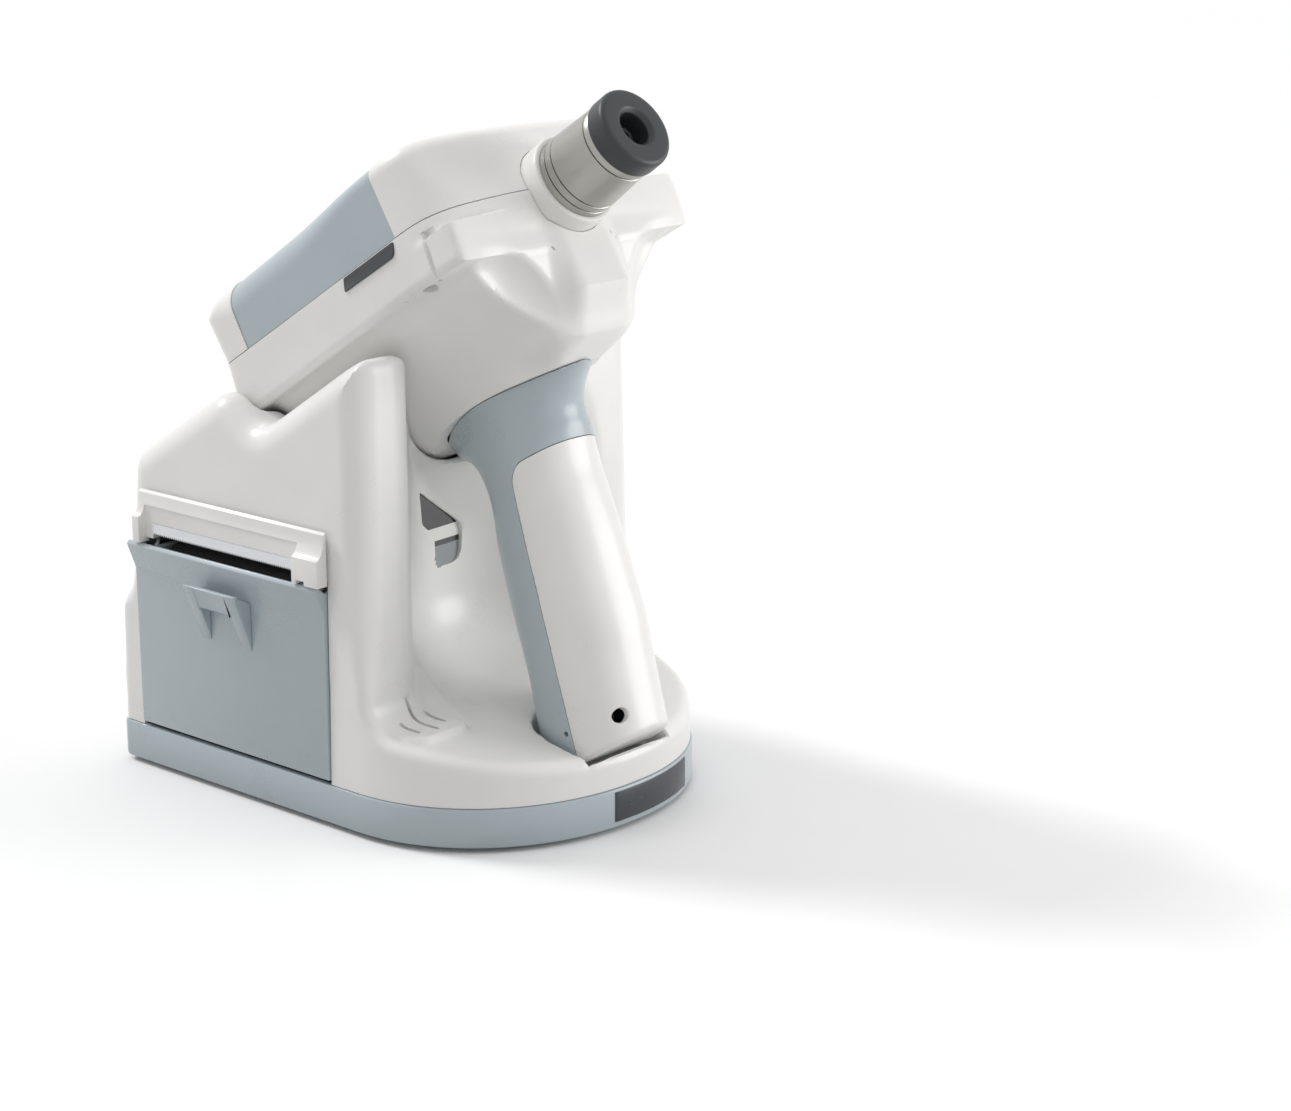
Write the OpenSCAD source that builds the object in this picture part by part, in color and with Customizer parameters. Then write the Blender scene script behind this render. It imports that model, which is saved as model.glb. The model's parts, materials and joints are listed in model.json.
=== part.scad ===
// Hand-held air-puff tonometer standing in its charging and printing dock.
// Dock pieces are drawn in the dock's frame, head pieces along the nozzle axis,
// and handle pieces along the handle axis; each frame is placed once below.

/* [Dock] */
// Width of the dock across its straight sides
dock_w = 160; // [150:1:180]
// Length of the straight part of the dock, behind the rounded nose
dock_tail = 140; // [136:1:160]
// Length of the rounded nose
nose_len = 72.4; // [66:0.2:80]
// Height of the coloured base tray, feet included
tray_h = 17.6; // [16:0.2:22]
// Wall of the tray and of the dock shell
dock_wall = 2.8; // [2:0.1:3.4]
// Thickness of the rubber feet
foot_t = 2; // [1.5:0.5:3]
// Inset of the shell from the edge of the tray
shell_inset = 0.8; // [0.4:0.2:1.4]
// Height of the rim at the front of the nose
rim_h = 31; // [29:0.5:33]
// Height of the nose floor where it meets the tower
floor_h = 41; // [38:0.5:43]
// Height of the tower at the top of its pillars
tower_h = 186; // [182:1:188]
// Height of the tower's rear edge
rear_h = 130; // [124:1:136]
// Radius of the niche between the pillars
niche_r = 50; // [46:1:52]

/* [Printer] */
// Width of the printer door
door_w = 111.2; // [108:0.4:112]
// Height of the printer door
door_h = 77; // [76:0.5:78]
// Thickness of the door panel
door_t = 2.6; // [2:0.2:3]
// How far the paper bezel stands out of the dock side
bezel_reach = 4.5; // [3:0.5:6]
// How far the door pull stands out of the door
pull_reach = 9; // [7:0.5:11]
// Width of the paper
paper_w = 80; // [76:1:82]
// Radius of a full paper roll
roll_r = 24; // [18:1:25]
// Radius of the rubber platen
platen_r = 6; // [5:0.25:6.25]
// Gear module of the paper feed
gear_m = 0.8; // [0.75:0.01:0.82]

/* [Head] */
// Tilt of the nozzle axis while the instrument stands in the dock
tilt = 35; // [34:0.5:36]
// Width of the head
head_w = 125; // [118:1:128]
// Length of the head from its front face to the display
head_len = 143; // [136:1:144]
// Wall of the moulded instrument shells
skin = 2.4; // [2:0.1:2.8]
// Shadow gap where two mouldings meet
seam = 0.3; // [0.2:0.05:0.4]
// Width of the display window
display_w = 56; // [50:1:58]
// Height of the display window
display_h = 19; // [16:0.5:20]
// Radius of a key cap
key_r = 4.2; // [3.5:0.1:4.5]
// Travel of a key
key_travel = 1.2; // [0.8:0.1:1.4]

/* [Nozzle] */
// Radius of the black cap
cap_r = 16; // [15:0.25:17]
// Length of the cap
cap_len = 9; // [8:0.5:11]
// Radius of the mouth in the cap
mouth_r = 6.5; // [5:0.25:7]
// Radius of the barrel where it leaves the base ring
barrel_r = 16.6; // [16:0.1:17.4]
// Radius of the base ring
ring_r = 18.3; // [18:0.1:19]
// Distance from the cap's face to the front of the base ring
nozzle_reach = 37; // [34:0.5:40]

/* [Air unit] */
// Bore radius of the air cylinder
bore_r = 8.5; // [7:0.25:9]
// Wall of the air cylinder
cylinder_wall = 2.5; // [2:0.25:2.75]
// Stroke of the piston
stroke = 16; // [12:1:17]
// Radius of the piston rod
rod_r = 3; // [2.5:0.25:3.5]
// Wire radius of the return spring
wire_r = 0.6; // [0.5:0.05:0.7]

/* [Handle] */
// Width of the handle
grip_w = 44; // [40:1:46]
// Depth of the handle
grip_d = 47; // [44:1:48]
// Lean of the handle against the square to the nozzle axis
grip_lean = 17.5; // [17:0.5:18]
// Drop from the nozzle axis to the lower end of the neck
neck_drop = 60; // [58:1:62]
// Radius of a battery cell
cell_r = 9.2; // [8.5:0.1:9.4]
// Length of the battery cells
cell_len = 65; // [60:1:68]

/* [Fits] */
// Radial clearance of running fits
run_gap = 0.06; // [0.03:0.01:0.09]
// Clearance between separate pieces that face each other
slip = 0.4; // [0.3:0.05:0.6]

/* [Hidden] */
$fn = 64;

// Colours
white = [0.93, 0.92, 0.9];
blue = [0.62, 0.68, 0.73];
dark = [0.12, 0.13, 0.14];
steel = [0.72, 0.73, 0.75];
board = [0.1, 0.35, 0.22];
brass = [0.8, 0.62, 0.3];

// Where the cap's face stands in the dock's frame
tip_x = 72.6;
tip_z = 268.4;
half_w = dock_w / 2;
door_face = -half_w;
near_reach = half_w + pull_reach;
// Outline of the cap, distance from the nozzle axis first
cap_outline = rounded([[mouth_r, -cap_len], [cap_r, -cap_len], [cap_r, 0], [mouth_r + 3, 0],
                       [mouth_r, -1.5]], [0, 0, 1.5, 0.5, 0.5]);
cap_edge = tip_x + max([for (p = cap_outline) p.y * cos(tilt) + p.x * sin(tilt)]);
// The origin is the middle of the whole object's footprint
dock_x = (dock_tail - max(cap_edge, nose_len)) / 2;
dock_y = (near_reach - half_w) / 2;

// Plane outlines -----------------------------------------------------------------------
function unit(v) = v / norm(v);
function left_of(a, b) = let (d = unit(b - a)) [-d.y, d.x];
// Replaces each corner of an outline by a curve that starts and ends r from it
function eased(p, c, n, r, k) = r == 0 ? [c] : [
    for (i = [0 : k])
        let (t = i / k, a = c + unit(p - c) * r, b = c + unit(n - c) * r)
            (1 - t) * (1 - t) * a + 2 * t * (1 - t) * c + t * t * b
];
function rounded(pts, radii, k = 6) = [
    for (i = [0 : len(pts) - 1])
        each eased(pts[(i + len(pts) - 1) % len(pts)], pts[i], pts[(i + 1) % len(pts)],
                   radii[i], k)
];
// Moves every edge of an anticlockwise outline inwards by t
function inset(pts, t) = [
    for (i = [0 : len(pts) - 1])
        let (a = pts[(i + len(pts) - 1) % len(pts)], b = pts[i],
             c = pts[(i + 1) % len(pts)], m = left_of(a, b), n = left_of(b, c))
            b + t * (m + n) / (1 + m * n)
];
function box_outline(w, h) = [[-w / 2, -h / 2], [w / 2, -h / 2], [w / 2, h / 2], [-w / 2, h / 2]];

// Extrudes an outline drawn in x and z along y, centred
module along_y(w) {
    rotate([90, 0, 0]) translate([0, 0, -w / 2]) linear_extrude(w) children();
}
// Extrudes an outline drawn in y and z along x
module along_x(from, to) {
    translate([from, 0, 0]) rotate([90, 0, 90]) linear_extrude(to - from) children();
}
// Box given by its two corners
module block(a, b) {
    translate(a) cube(b - a);
}
// Round bar along x
module bar_x(from, to, r) {
    translate([from, 0, 0]) rotate([0, 90, 0]) cylinder(r = r, h = to - from);
}

// Frames -------------------------------------------------------------------------------
module in_dock() {
    translate([dock_x, dock_y, 0]) children();
}
module in_head() {
    in_dock() translate([tip_x, 0, tip_z]) rotate([0, -tilt, 0]) children();
}
// Handle frame: x forward, z up the handle, origin on its axis at the neck
grip_u = -108.8;
module in_grip() {
    in_head() translate([grip_u, 0, -neck_drop]) rotate([0, grip_lean, 0]) children();
}

// Dock body ----------------------------------------------------------------------------
rear_r = 4.5;
nose_power = 2.1;
nose_steps = 28;
// Outline of the dock seen from above, t inside its edge
function nose_point(a, t) = [
    (nose_len - t) * pow(abs(cos(a)), 2 / nose_power),
    (half_w - t) * pow(abs(sin(a)), 2 / nose_power) * sign(sin(a))
];
function rear_corner(from, side, t) = [
    for (a = [from : 15 : from + 90])
        [rear_r - dock_tail, side * (half_w - rear_r)] + (rear_r - t) * [cos(a), sin(a)]
];
function dock_outline(t) = concat(
    [for (i = [0 : nose_steps]) nose_point(-90 + 180 * i / nose_steps, t)],
    rear_corner(90, 1, t), rear_corner(180, -1, t)
);

pillar_x = 17.3;
niche_x = 20;
lip = [-76, rear_h + 33];
notch = [-56.5, tower_h - 36];
crest = [-45, tower_h - 29.4];
tower_side = [
    [-dock_tail, tray_h], [nose_len + 1, tray_h], [nose_len + 1, rim_h], [pillar_x, floor_h],
    [pillar_x, tower_h], [-6.6, tower_h - 5], crest, notch, lip, [-131, rear_h]
];
tower_ease = [0, 0, 3, 30, 10, 8, 5, 6, 7, 5];
floor_slope = (floor_h - rim_h) / (nose_len + 1 - pillar_x);
niche_back = niche_x - niche_r;
niche_top = tower_h + 20;
function floor_at(x) = rim_h + floor_slope * (nose_len + 1 - x);
niche_side = [
    [niche_back, niche_top], [niche_back, floor_at(niche_back)],
    [nose_len + 10, floor_at(nose_len + 10)], [nose_len + 10, niche_top]
];

// Space between the pillars, grown by t
module niche(t) {
    intersection() {
        translate([0, 0, tray_h]) linear_extrude(niche_top) union() {
            translate([niche_x, 0]) circle(r = niche_r + t, $fn = 96);
            translate([niche_x, -niche_r - t]) square([nose_len, 2 * (niche_r + t)]);
        }
        along_y(dock_w) polygon(rounded(inset(niche_side, -t), [0, 34, 0, 0]));
    }
}

// Room that the resting head and neck take out of the tower, grown by t
module head_room(t) {
    head_axes() {
        along_y(head_w + 2 * t + 1) polygon(inset(head_side, -t));
        neck_solid(-t - 0.6);
    }
}

// Room for the foot of the handle in the nose, grown by t
foot_room = 2.2;
cup_floor = 24;
module cup(t) {
    intersection() {
        head_axes() grip_axes() translate([0, 0, -160]) linear_extrude(120)
            polygon(grip_section(-foot_room - t));
        head_axes() block([-260, -60, -foot_v - foot_room - t], [0, 60, 0]);
        block([0, -60, cup_floor - t], [nose_len + 20, 60, 70]);
    }
}

post_r = 4.5;
screw_r = 1.5;
post_places = [for (x = [-132.2, -4], s = [1, -1]) [x, s * (half_w - (x < -100 ? 22 : 8))]];
pad_low = [-1, -71];
pad_high = [27, -43];
pad_top = 43;
// Length, start and lateral place of the three slots of the pad
light_slots = [[11, 9.5, -65], [18.5, 4, -57], [11.5, 6.5, -49]];
slot_w = 1.8;
slot_depth = 4;
window_low = 92.5;
window_high = 112;
window_half = 6.5;
opening_x = [-door_w / 2 - 70 - slip, door_w / 2 - 70 + slip];

module slot_bars(grow, depth) {
    for (s = light_slots)
        block([s[1] - grow, s[2] - slot_w / 2 - grow, pad_top - depth],
              [s[1] + s[0] + grow, s[2] + slot_w / 2 + grow, pad_top + grow]);
}

module stadium_x(from, to, half, low, high) {
    for (z = [low, high]) translate([0, 0, z]) bar_x(from, to, half);
    block([from, -half, low], [to, half, high]);
}

module shell_cavity() {
    difference() {
        intersection() {
            translate([0, 0, tray_h - 1]) linear_extrude(tower_h)
                polygon(dock_outline(shell_inset + dock_wall));
            along_y(dock_w) polygon(rounded(concat(
                [[-dock_tail + dock_wall, tray_h - 1], [nose_len + 1 - dock_wall, tray_h - 1]],
                [for (i = [2 : 9]) inset(tower_side, dock_wall)[i]]), tower_ease));
        }
        niche(dock_wall);
        head_room(slip + dock_wall);
        cup(dock_wall);
    }
}

module dock_shell() color(white) in_dock() {
    difference() {
        union() {
            difference() {
                intersection() {
                    translate([0, 0, tray_h]) linear_extrude(tower_h)
                        polygon(dock_outline(shell_inset));
                    along_y(dock_w) polygon(rounded(tower_side, tower_ease));
                }
                shell_cavity();
                niche(0);
                head_room(slip);
            }
            intersection() {
                translate([0, 0, floor_at(pad_high.x) - 3]) linear_extrude(pad_top
                    - floor_at(pad_high.x) + 3) translate((pad_low + pad_high) / 2)
                    polygon(rounded(box_outline(pad_high.x - pad_low.x, pad_high.y - pad_low.y),
                                    [5, 5, 5, 5]));
                translate([0, 0, tray_h]) linear_extrude(tower_h)
                    polygon(dock_outline(shell_inset));
            }
            for (p = post_places)
                translate([p.x, p.y, tray_h]) cylinder(r = post_r, h = 14);
        }
        cup(0);
        slot_bars(0.1, slot_depth);
        for (p = post_places)
            translate([p.x, p.y, tray_h - 1]) cylinder(r = screw_r + run_gap, h = 12);
        stadium_x(niche_back - 8, niche_back + 12, window_half, window_low, window_high);
        block([opening_x[0], -half_w - 1, tray_h - 1], [opening_x[1], -half_w + 16, door_top + 1]);
        block([bezel_in[0] - slip, -half_w - 1, door_top],
              [bezel_in[1] + slip, -half_w + 8, bezel_top - 2]);
        block([contact_x[0] - slip, -contact_w - slip, 10],
              [contact_x[1] + slip, contact_w + slip, cup_floor + 1]);
    }
}

tray_floor = foot_t + 2.5;
rail_x = [-119, -19];
rail_top = tray_h + 0.6;
board_posts = [[-104, 14], [-104, 56], [-44, 14], [-44, 56]];
board_z = 10;
inlet_y = 30;
inlet_z = 10.5;
contact_x = [40.4, 53.6];
contact_w = 7.6;
contact_seat = 14;
foot_places = [[-118, 60], [-118, -60], [38, 42], [38, -42]];

module base_tray() color(blue) in_dock() {
    difference() {
        union() {
            difference() {
                translate([0, 0, foot_t]) linear_extrude(tray_h - foot_t)
                    polygon(dock_outline(0));
                translate([0, 0, tray_floor]) linear_extrude(tray_h)
                    polygon(dock_outline(dock_wall));
            }
            for (p = post_places)
                translate([p.x, p.y, foot_t]) cylinder(r = post_r, h = tray_h - foot_t);
            for (p = board_posts)
                translate([p.x, p.y, foot_t]) cylinder(r = 3, h = board_z - foot_t);
            for (x = [rail_x[0] - 2, rail_x[1] - 4])
                block([x, plate_front, foot_t], [x + 6, frame_back, rail_top]);
            block([contact_x[0], -contact_w, foot_t], [contact_x[1], contact_w, contact_seat]);
        }
        for (p = post_places) translate([p.x, p.y, foot_t - 1]) {
            cylinder(r = screw_r + run_gap, h = tray_h);
            cylinder(r = 3.2, h = 4);
        }
        translate([0, inlet_y, inlet_z]) bar_x(-dock_tail - 1, -dock_tail + 5, 4);
    }
}

module rubber_feet() color(dark) in_dock() {
    for (p = foot_places) translate([p.x, p.y, 0]) cylinder(r = 8, h = foot_t);
}

module tray_screws() color(steel) in_dock() {
    for (p = post_places) translate([p.x, p.y, foot_t + 0.8]) {
        cylinder(r = 2.8, h = 2.2);
        cylinder(r = screw_r, h = tray_h + 6);
    }
}

badge_t = 0.4;
module base_badge() color(dark) in_dock() {
    intersection() {
        difference() {
            translate([0, 0, foot_t + 2.5]) linear_extrude(tray_h - foot_t - 3.5)
                polygon(dock_outline(-badge_t));
            linear_extrude(tray_h) polygon(dock_outline(0));
        }
        block([40, -12, 0], [100, 37, 40]);
    }
}

module status_lights() color([0.7, 0.75, 0.78]) in_dock() {
    translate([0, 0, -0.3]) intersection() {
        slot_bars(0, slot_depth - 0.3);
        block([-20, -90, 0], [60, 0, pad_top]);
    }
}

module infrared_window() color(dark) in_dock() {
    translate([0, 0, window_low - 12]) intersection() {
        linear_extrude(window_high - window_low + 20) difference() {
            translate([niche_x, 0]) circle(r = niche_r + dock_wall + 2, $fn = 96);
            translate([niche_x, 0]) circle(r = niche_r + dock_wall + 0.05, $fn = 96);
        }
        block([niche_back - 10, -window_half - 4, 0], [niche_back + 4, window_half + 4, 60]);
    }
}

module dock_board() color(board) in_dock() {
    block([-108, 10, board_z], [-40, 60, board_z + 1.6]);
    block([-96, 20, board_z + 1.6], [-82, 34, board_z + 3.4]);
    block([-74, 40, board_z + 1.6], [-60, 50, board_z + 4.6]);
    block([-60, 16, board_z + 1.6], [-48, 28, board_z + 3]);
}

module power_inlet() color(dark) in_dock() {
    translate([0, inlet_y, inlet_z]) difference() {
        union() {
            block([-dock_tail + dock_wall, -5, tray_floor - inlet_z],
                  [-dock_tail + dock_wall + 12, 5, 5]);
            bar_x(-dock_tail + 0.6, -dock_tail + dock_wall + 1, 3.9);
        }
        bar_x(-dock_tail, -dock_tail + 10, 2.9);
    }
    translate([0, inlet_y, inlet_z]) bar_x(-dock_tail + 2, -dock_tail + 11, 1);
}

pin_r = 1.2;
pin_x = 47;
pin_y = 4;
module contact_block() color(dark) in_dock() {
    difference() {
        block([contact_x[0], -contact_w, contact_seat], [contact_x[1], contact_w, cup_floor - 0.1]);
        for (s = [-1, 1]) translate([pin_x, s * pin_y, contact_seat + 1])
            cylinder(r = pin_r + run_gap, h = 20);
    }
}

// Sprung charging pin, drawn pressed down by the foot that stands on it
module charge_pin(side) color(brass) in_dock() {
    translate([pin_x, side * pin_y, contact_seat + 3])
        cylinder(r = pin_r, h = heel_z - pad_proud - 0.1 - contact_seat - 3);
}
module charge_pin_left() charge_pin(1);
module charge_pin_right() charge_pin(-1);

// Printer ------------------------------------------------------------------------------
printer_x = -70;
door_top = tray_h + 1.9 + door_h;
bezel_z = door_top + 2.1;
bezel_top = bezel_z + 19.4;
bezel_out = [printer_x - door_w / 2 + 4.6, printer_x + door_w / 2 + 1.6];
bezel_in = [bezel_out[0] + 2.4, bezel_out[1] - 2.4];
bezel_gap = [bezel_out[0] + 4, printer_x + paper_w / 2 + 3];
shell_face = -half_w + shell_inset;
blade_low = bezel_z + 2;

// Hollow-curved brow of the bezel and the same with the foot that meets the door
brow_drop = bezel_reach - 0.4;
bezel_brow = concat([[shell_face, bezel_top]], [for (i = [0 : 8])
    [-half_w - 0.4 - brow_drop * (1 - cos(11.25 * i)), bezel_top - 1 - 9.4 * sin(11.25 * i)]],
    [[-half_w - bezel_reach, bezel_z]]);
bezel_side = concat(bezel_brow, [
    [-half_w - bezel_reach, door_top + 0.5], [shell_face, door_top + 0.5]
]);

module printer_bezel() color(white) in_dock() {
    difference() {
        union() {
            along_x(bezel_out[0], bezel_gap[0]) polygon(bezel_side);
            along_x(bezel_gap[1], bezel_out[1]) polygon(bezel_side);
            along_x(bezel_out[0], bezel_out[1])
                polygon(concat(bezel_brow, [[shell_face, bezel_z]]));
            block([bezel_in[0], shell_face, bezel_z], [bezel_in[1], shell_face + 3, bezel_top - 2.4]);
        }
        block([bezel_gap[0], -half_w - bezel_reach - 1, bezel_z - 1],
              [bezel_gap[1], -half_w - 0.5, bezel_top - 6]);
        block([printer_x - paper_w / 2 - 3, -half_w - 1, bezel_z - 1],
              [printer_x + paper_w / 2 + 3, shell_face + 4, blade_low + 2.6]);
        // Room over the platen gear, which rises a little as the door starts to drop
        block([gear_x[0] - 0.4, -half_w - bezel_reach - 1, door_top],
              [gear_x[1] + 0.4, shell_face + 1, bezel_z]);
    }
}

blade_pitch = 1.2;
module tear_blade() color(steel) in_dock() {
    teeth = floor((paper_w + 4) / blade_pitch);
    start = printer_x - teeth * blade_pitch / 2;
    translate([0, -half_w - 0.9, 0]) along_y(0.8) polygon(concat(
        [for (i = [0 : teeth]) each i == teeth ? [[start + i * blade_pitch, blade_low + 0.9]] :
            [[start + i * blade_pitch, blade_low + 0.9],
             [start + (i + 0.5) * blade_pitch, blade_low]]],
        [[start + teeth * blade_pitch, blade_low + 4.6], [start, blade_low + 4.6]]));
}

hinge_y = -half_w + 5.6;
hinge_z = tray_h + 7.5;
platen_y = -half_w + 11;
platen_z = door_top - 6.6;
platen_teeth = 18;
idler_teeth = 24;
pinion_teeth = 12;
function gear_span(a, b) = gear_m * (a + b) / 2;
idler_y = platen_y + gear_span(platen_teeth, idler_teeth);
// The pinion stands above and behind the idler, a whole number of its teeth round
pinion_turn = 360 / pinion_teeth;
pinion_y = idler_y + gear_span(idler_teeth, pinion_teeth) * cos(pinion_turn);
pinion_z = platen_z + gear_span(idler_teeth, pinion_teeth) * sin(pinion_turn);
roll_y = -half_w + 9.5 + roll_r;
roll_z = tray_h + 8.4 + roll_r;
spindle_r = 4;
core_r = 7;
plate_t = 2;
hinge_r = 1.5;
shaft_r = 2;
stub_r = 2;
ear_r = 2.6;
frame_back = -40;
plate_front = -67;
head_face = platen_y + platen_r + 0.4;
head_back = head_face + 6;
bar_z = [platen_z - 10, platen_z + 13];
gear_x = [rail_x[1] - 5.4, rail_x[1] - 1.6];
motor_x = gear_x[0] - 3;
motor_r = 9.5;
ear_x = [printer_x - paper_w / 2 - 4.4, printer_x + paper_w / 2 + 1.6];
ear_t = 2.8;

// Side plate of the printer: lower front corner cut back for the swing of the door
plate_side = [
    [plate_front, rail_top], [frame_back, rail_top], [frame_back, bar_z[1]],
    [plate_front, bar_z[1]], [door_face + door_t + slip, door_top - 8],
    [door_face + door_t + slip, hinge_z],
    [hinge_y, hinge_z - ear_r], [plate_front, hinge_z - ear_r]
];
module printer_frame() color(steel) in_dock() {
    difference() {
        union() {
            for (x = [rail_x[0] - plate_t, rail_x[1]]) {
                along_x(x, x + plate_t) polygon(plate_side);
                translate([0, hinge_y, hinge_z]) bar_x(x, x + plate_t, ear_r);
            }
            block([rail_x[0] - plate_t, plate_front, rail_top],
                  [rail_x[1] + plate_t, frame_back, rail_top + 1.4]);
            block([rail_x[0], head_back, bar_z[0]], [motor_x + 1.4, head_back + 3, bar_z[1]]);
            block([motor_x, head_back, bar_z[1] - 1.4], [rail_x[1], head_back + 8, bar_z[1]]);
            block([motor_x, head_back, platen_z - motor_r],
                  [motor_x + 1.4, pinion_y + motor_r, pinion_z + motor_r]);
            translate([0, idler_y, platen_z]) bar_x(gear_x[0], rail_x[1] + 1, stub_r);
        }
        translate([0, hinge_y, hinge_z]) bar_x(-130, 0, hinge_r + run_gap);
        translate([0, roll_y, roll_z]) bar_x(-130, 0, spindle_r + run_gap);
        translate([0, pinion_y, pinion_z]) bar_x(motor_x - 1, motor_x + 3, 3);
    }
}

module print_head() color(dark) in_dock() {
    x = [printer_x - paper_w / 2, printer_x + paper_w / 2];
    block([x[0], head_face, platen_z - 4], [x[1], head_face + 1.5, platen_z + 7]);
    block([x[0] + 1, head_face + 1.5, platen_z - 7], [x[1] - 1, head_back, platen_z + 9]);
}

module feed_motor() color(steel) in_dock() {
    translate([0, pinion_y, pinion_z]) bar_x(motor_x - 17, motor_x, motor_r);
}

module roll_spindle() color(steel) in_dock() {
    translate([0, roll_y, roll_z]) bar_x(rail_x[0] - plate_t, rail_x[1] + plate_t, spindle_r);
}

module door_hinge_pin() color(steel) in_dock() {
    translate([0, hinge_y, hinge_z]) bar_x(rail_x[0] - plate_t, rail_x[1] + plate_t, hinge_r);
}

lip_reach = bezel_reach - 0.5;
module printer_door() color(blue) in_dock() {
    left = printer_x - door_w / 2;
    difference() {
        union() {
            along_x(left, left + door_w) polygon([
                [door_face, door_top - door_h], [door_face, door_top - 12],
                [door_face - lip_reach, door_top - 1.2], [door_face - lip_reach + 1, door_top],
                [door_face - lip_reach + 2, door_top], [door_face + 0.6, door_top - 2.6],
                [door_face + door_t, door_top - 2.6], [door_face + door_t, door_top - door_h]]);
            for (x = [printer_x - 42, printer_x - 10, printer_x + 22]) {
                translate([0, hinge_y, hinge_z]) bar_x(x, x + 20, 3);
                block([x, door_face + 1, hinge_z - 1.5], [x + 20, hinge_y, hinge_z + 1.5]);
            }
            for (x = ear_x)
                block([x, door_face + 1, platen_z - 9], [x + ear_t, platen_y + 7, platen_z + 5.5]);
        }
        translate([0, hinge_y, hinge_z]) bar_x(-130, 0, hinge_r + run_gap);
        translate([0, platen_y, platen_z]) bar_x(-130, 0, bush_r + 0.02);
    }
}

// Arch-shaped pull: a sloping plate across the top between two tapered legs
pull_x = [-86, -56];
pull_z = [62.6, 86.4];
leg_w = 6;
module door_pull() color(blue) in_dock() {
    out = door_face - pull_reach;
    slope = pull_reach / (pull_z[1] - pull_z[0]);
    for (x = [pull_x[0], pull_x[1] - leg_w]) along_x(x, x + leg_w)
        polygon([[door_face, pull_z[0]], [door_face, pull_z[1] - 4], [out, pull_z[1]]]);
    along_x(pull_x[0], pull_x[1]) polygon([
        [out, pull_z[1]], [out + 2.4, pull_z[1]], [out + 2.4 + 9 * slope, pull_z[1] - 9],
        [out + 9 * slope, pull_z[1] - 9]]);
}

bush_r = 3.6;
module platen_bushes() color(brass) in_dock() {
    for (x = ear_x) translate([0, platen_y, platen_z]) difference() {
        bar_x(x, x + ear_t, bush_r);
        bar_x(x - 1, x + ear_t + 1, shaft_r + run_gap);
    }
}

module platen_roller() color(dark) in_dock() {
    translate([0, platen_y, platen_z]) difference() {
        bar_x(printer_x - paper_w / 2, printer_x + paper_w / 2, platen_r);
        bar_x(-130, 0, shaft_r + 0.01);
    }
}

module platen_shaft() color(steel) in_dock() {
    translate([0, platen_y, platen_z]) bar_x(ear_x[0] - 1, gear_x[1] - 0.2, shaft_r);
}

// Straight-flanked gear along x; turn sets where its first tooth points
module feed_gear(teeth, y, z, bore, turn) {
    pitch_r = gear_m * teeth / 2;
    step = 360 / teeth;
    root = pitch_r - 1.2 * gear_m;
    tip = pitch_r + 0.85 * gear_m;
    translate([gear_x[0] + 0.3, y, z]) rotate([90, 0, 90]) difference() {
        linear_extrude(gear_x[1] - gear_x[0] - 0.6) rotate(turn) polygon([
            for (i = [0 : teeth - 1], f = [[-0.33, root], [-0.1, tip], [0.1, tip], [0.33, root]])
                f[1] * [cos(step * (i + f[0])), sin(step * (i + f[0]))]]);
        translate([0, 0, -1]) cylinder(r = bore, h = 10);
    }
}

module platen_gear() color(white) in_dock() {
    feed_gear(platen_teeth, platen_y, platen_z, shaft_r + 0.01, 0);
}
module idler_gear() color(white) in_dock() {
    feed_gear(idler_teeth, idler_y, platen_z, stub_r + run_gap, 180 / idler_teeth);
}
module motor_pinion() color(brass) in_dock() {
    feed_gear(pinion_teeth, pinion_y, pinion_z, 0.8, 0);
    translate([0, pinion_y, pinion_z]) bar_x(motor_x + 0.1, gear_x[1], 1);
}

module paper_roll() color([0.96, 0.96, 0.95]) in_dock() {
    translate([0, roll_y, roll_z]) difference() {
        bar_x(printer_x - paper_w / 2, printer_x + paper_w / 2, roll_r);
        bar_x(-130, 0, core_r + 0.02);
    }
}

module roll_core() color([0.6, 0.5, 0.4]) in_dock() {
    translate([0, roll_y, roll_z]) difference() {
        bar_x(printer_x - paper_w / 2, printer_x + paper_w / 2, core_r);
        bar_x(-130, 0, spindle_r + run_gap);
    }
}

// Head ---------------------------------------------------------------------------------
module head_axes() {
    translate([tip_x, 0, tip_z]) rotate([0, -tilt, 0]) children();
}
module grip_axes() {
    translate([grip_u, 0, -neck_drop]) rotate([0, grip_lean, 0]) children();
}
head_front = -42.5;
head_rear = head_front - head_len - 2;
head_side = [
    [-64, -20.5], [-47, -19], [head_front, 0], [-51, 31], [-72, 33],
    [head_rear + 9.5, 38.5], [head_rear, 12], [head_rear + 2, -13]
];
head_ease = [3, 6, 9, 8, 9, 5, 6, 5];
head_plan = [
    [head_rear - 1, -head_w / 2], [-52, -head_w / 2], [head_front, -24],
    [head_front, 24], [-52, head_w / 2], [head_rear - 1, head_w / 2]
];
plan_ease = [5, 15, 18, 18, 15, 5];

// Closed block of the head, t inside its outer faces
module head_solid(t) {
    intersection() {
        along_y(head_w + 20) polygon(rounded(inset(head_side, t), head_ease));
        translate([0, 0, -40]) linear_extrude(100)
            polygon(rounded(inset(head_plan, t), plan_ease));
        translate([0, 0, 9]) along_x(-200, 0)
            polygon(rounded(box_outline(head_w - 2 * t, 59.5 - 2 * t), [4, 4, 11, 11]));
    }
}

neck_w = 40;
scoop_r = 24;
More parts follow.
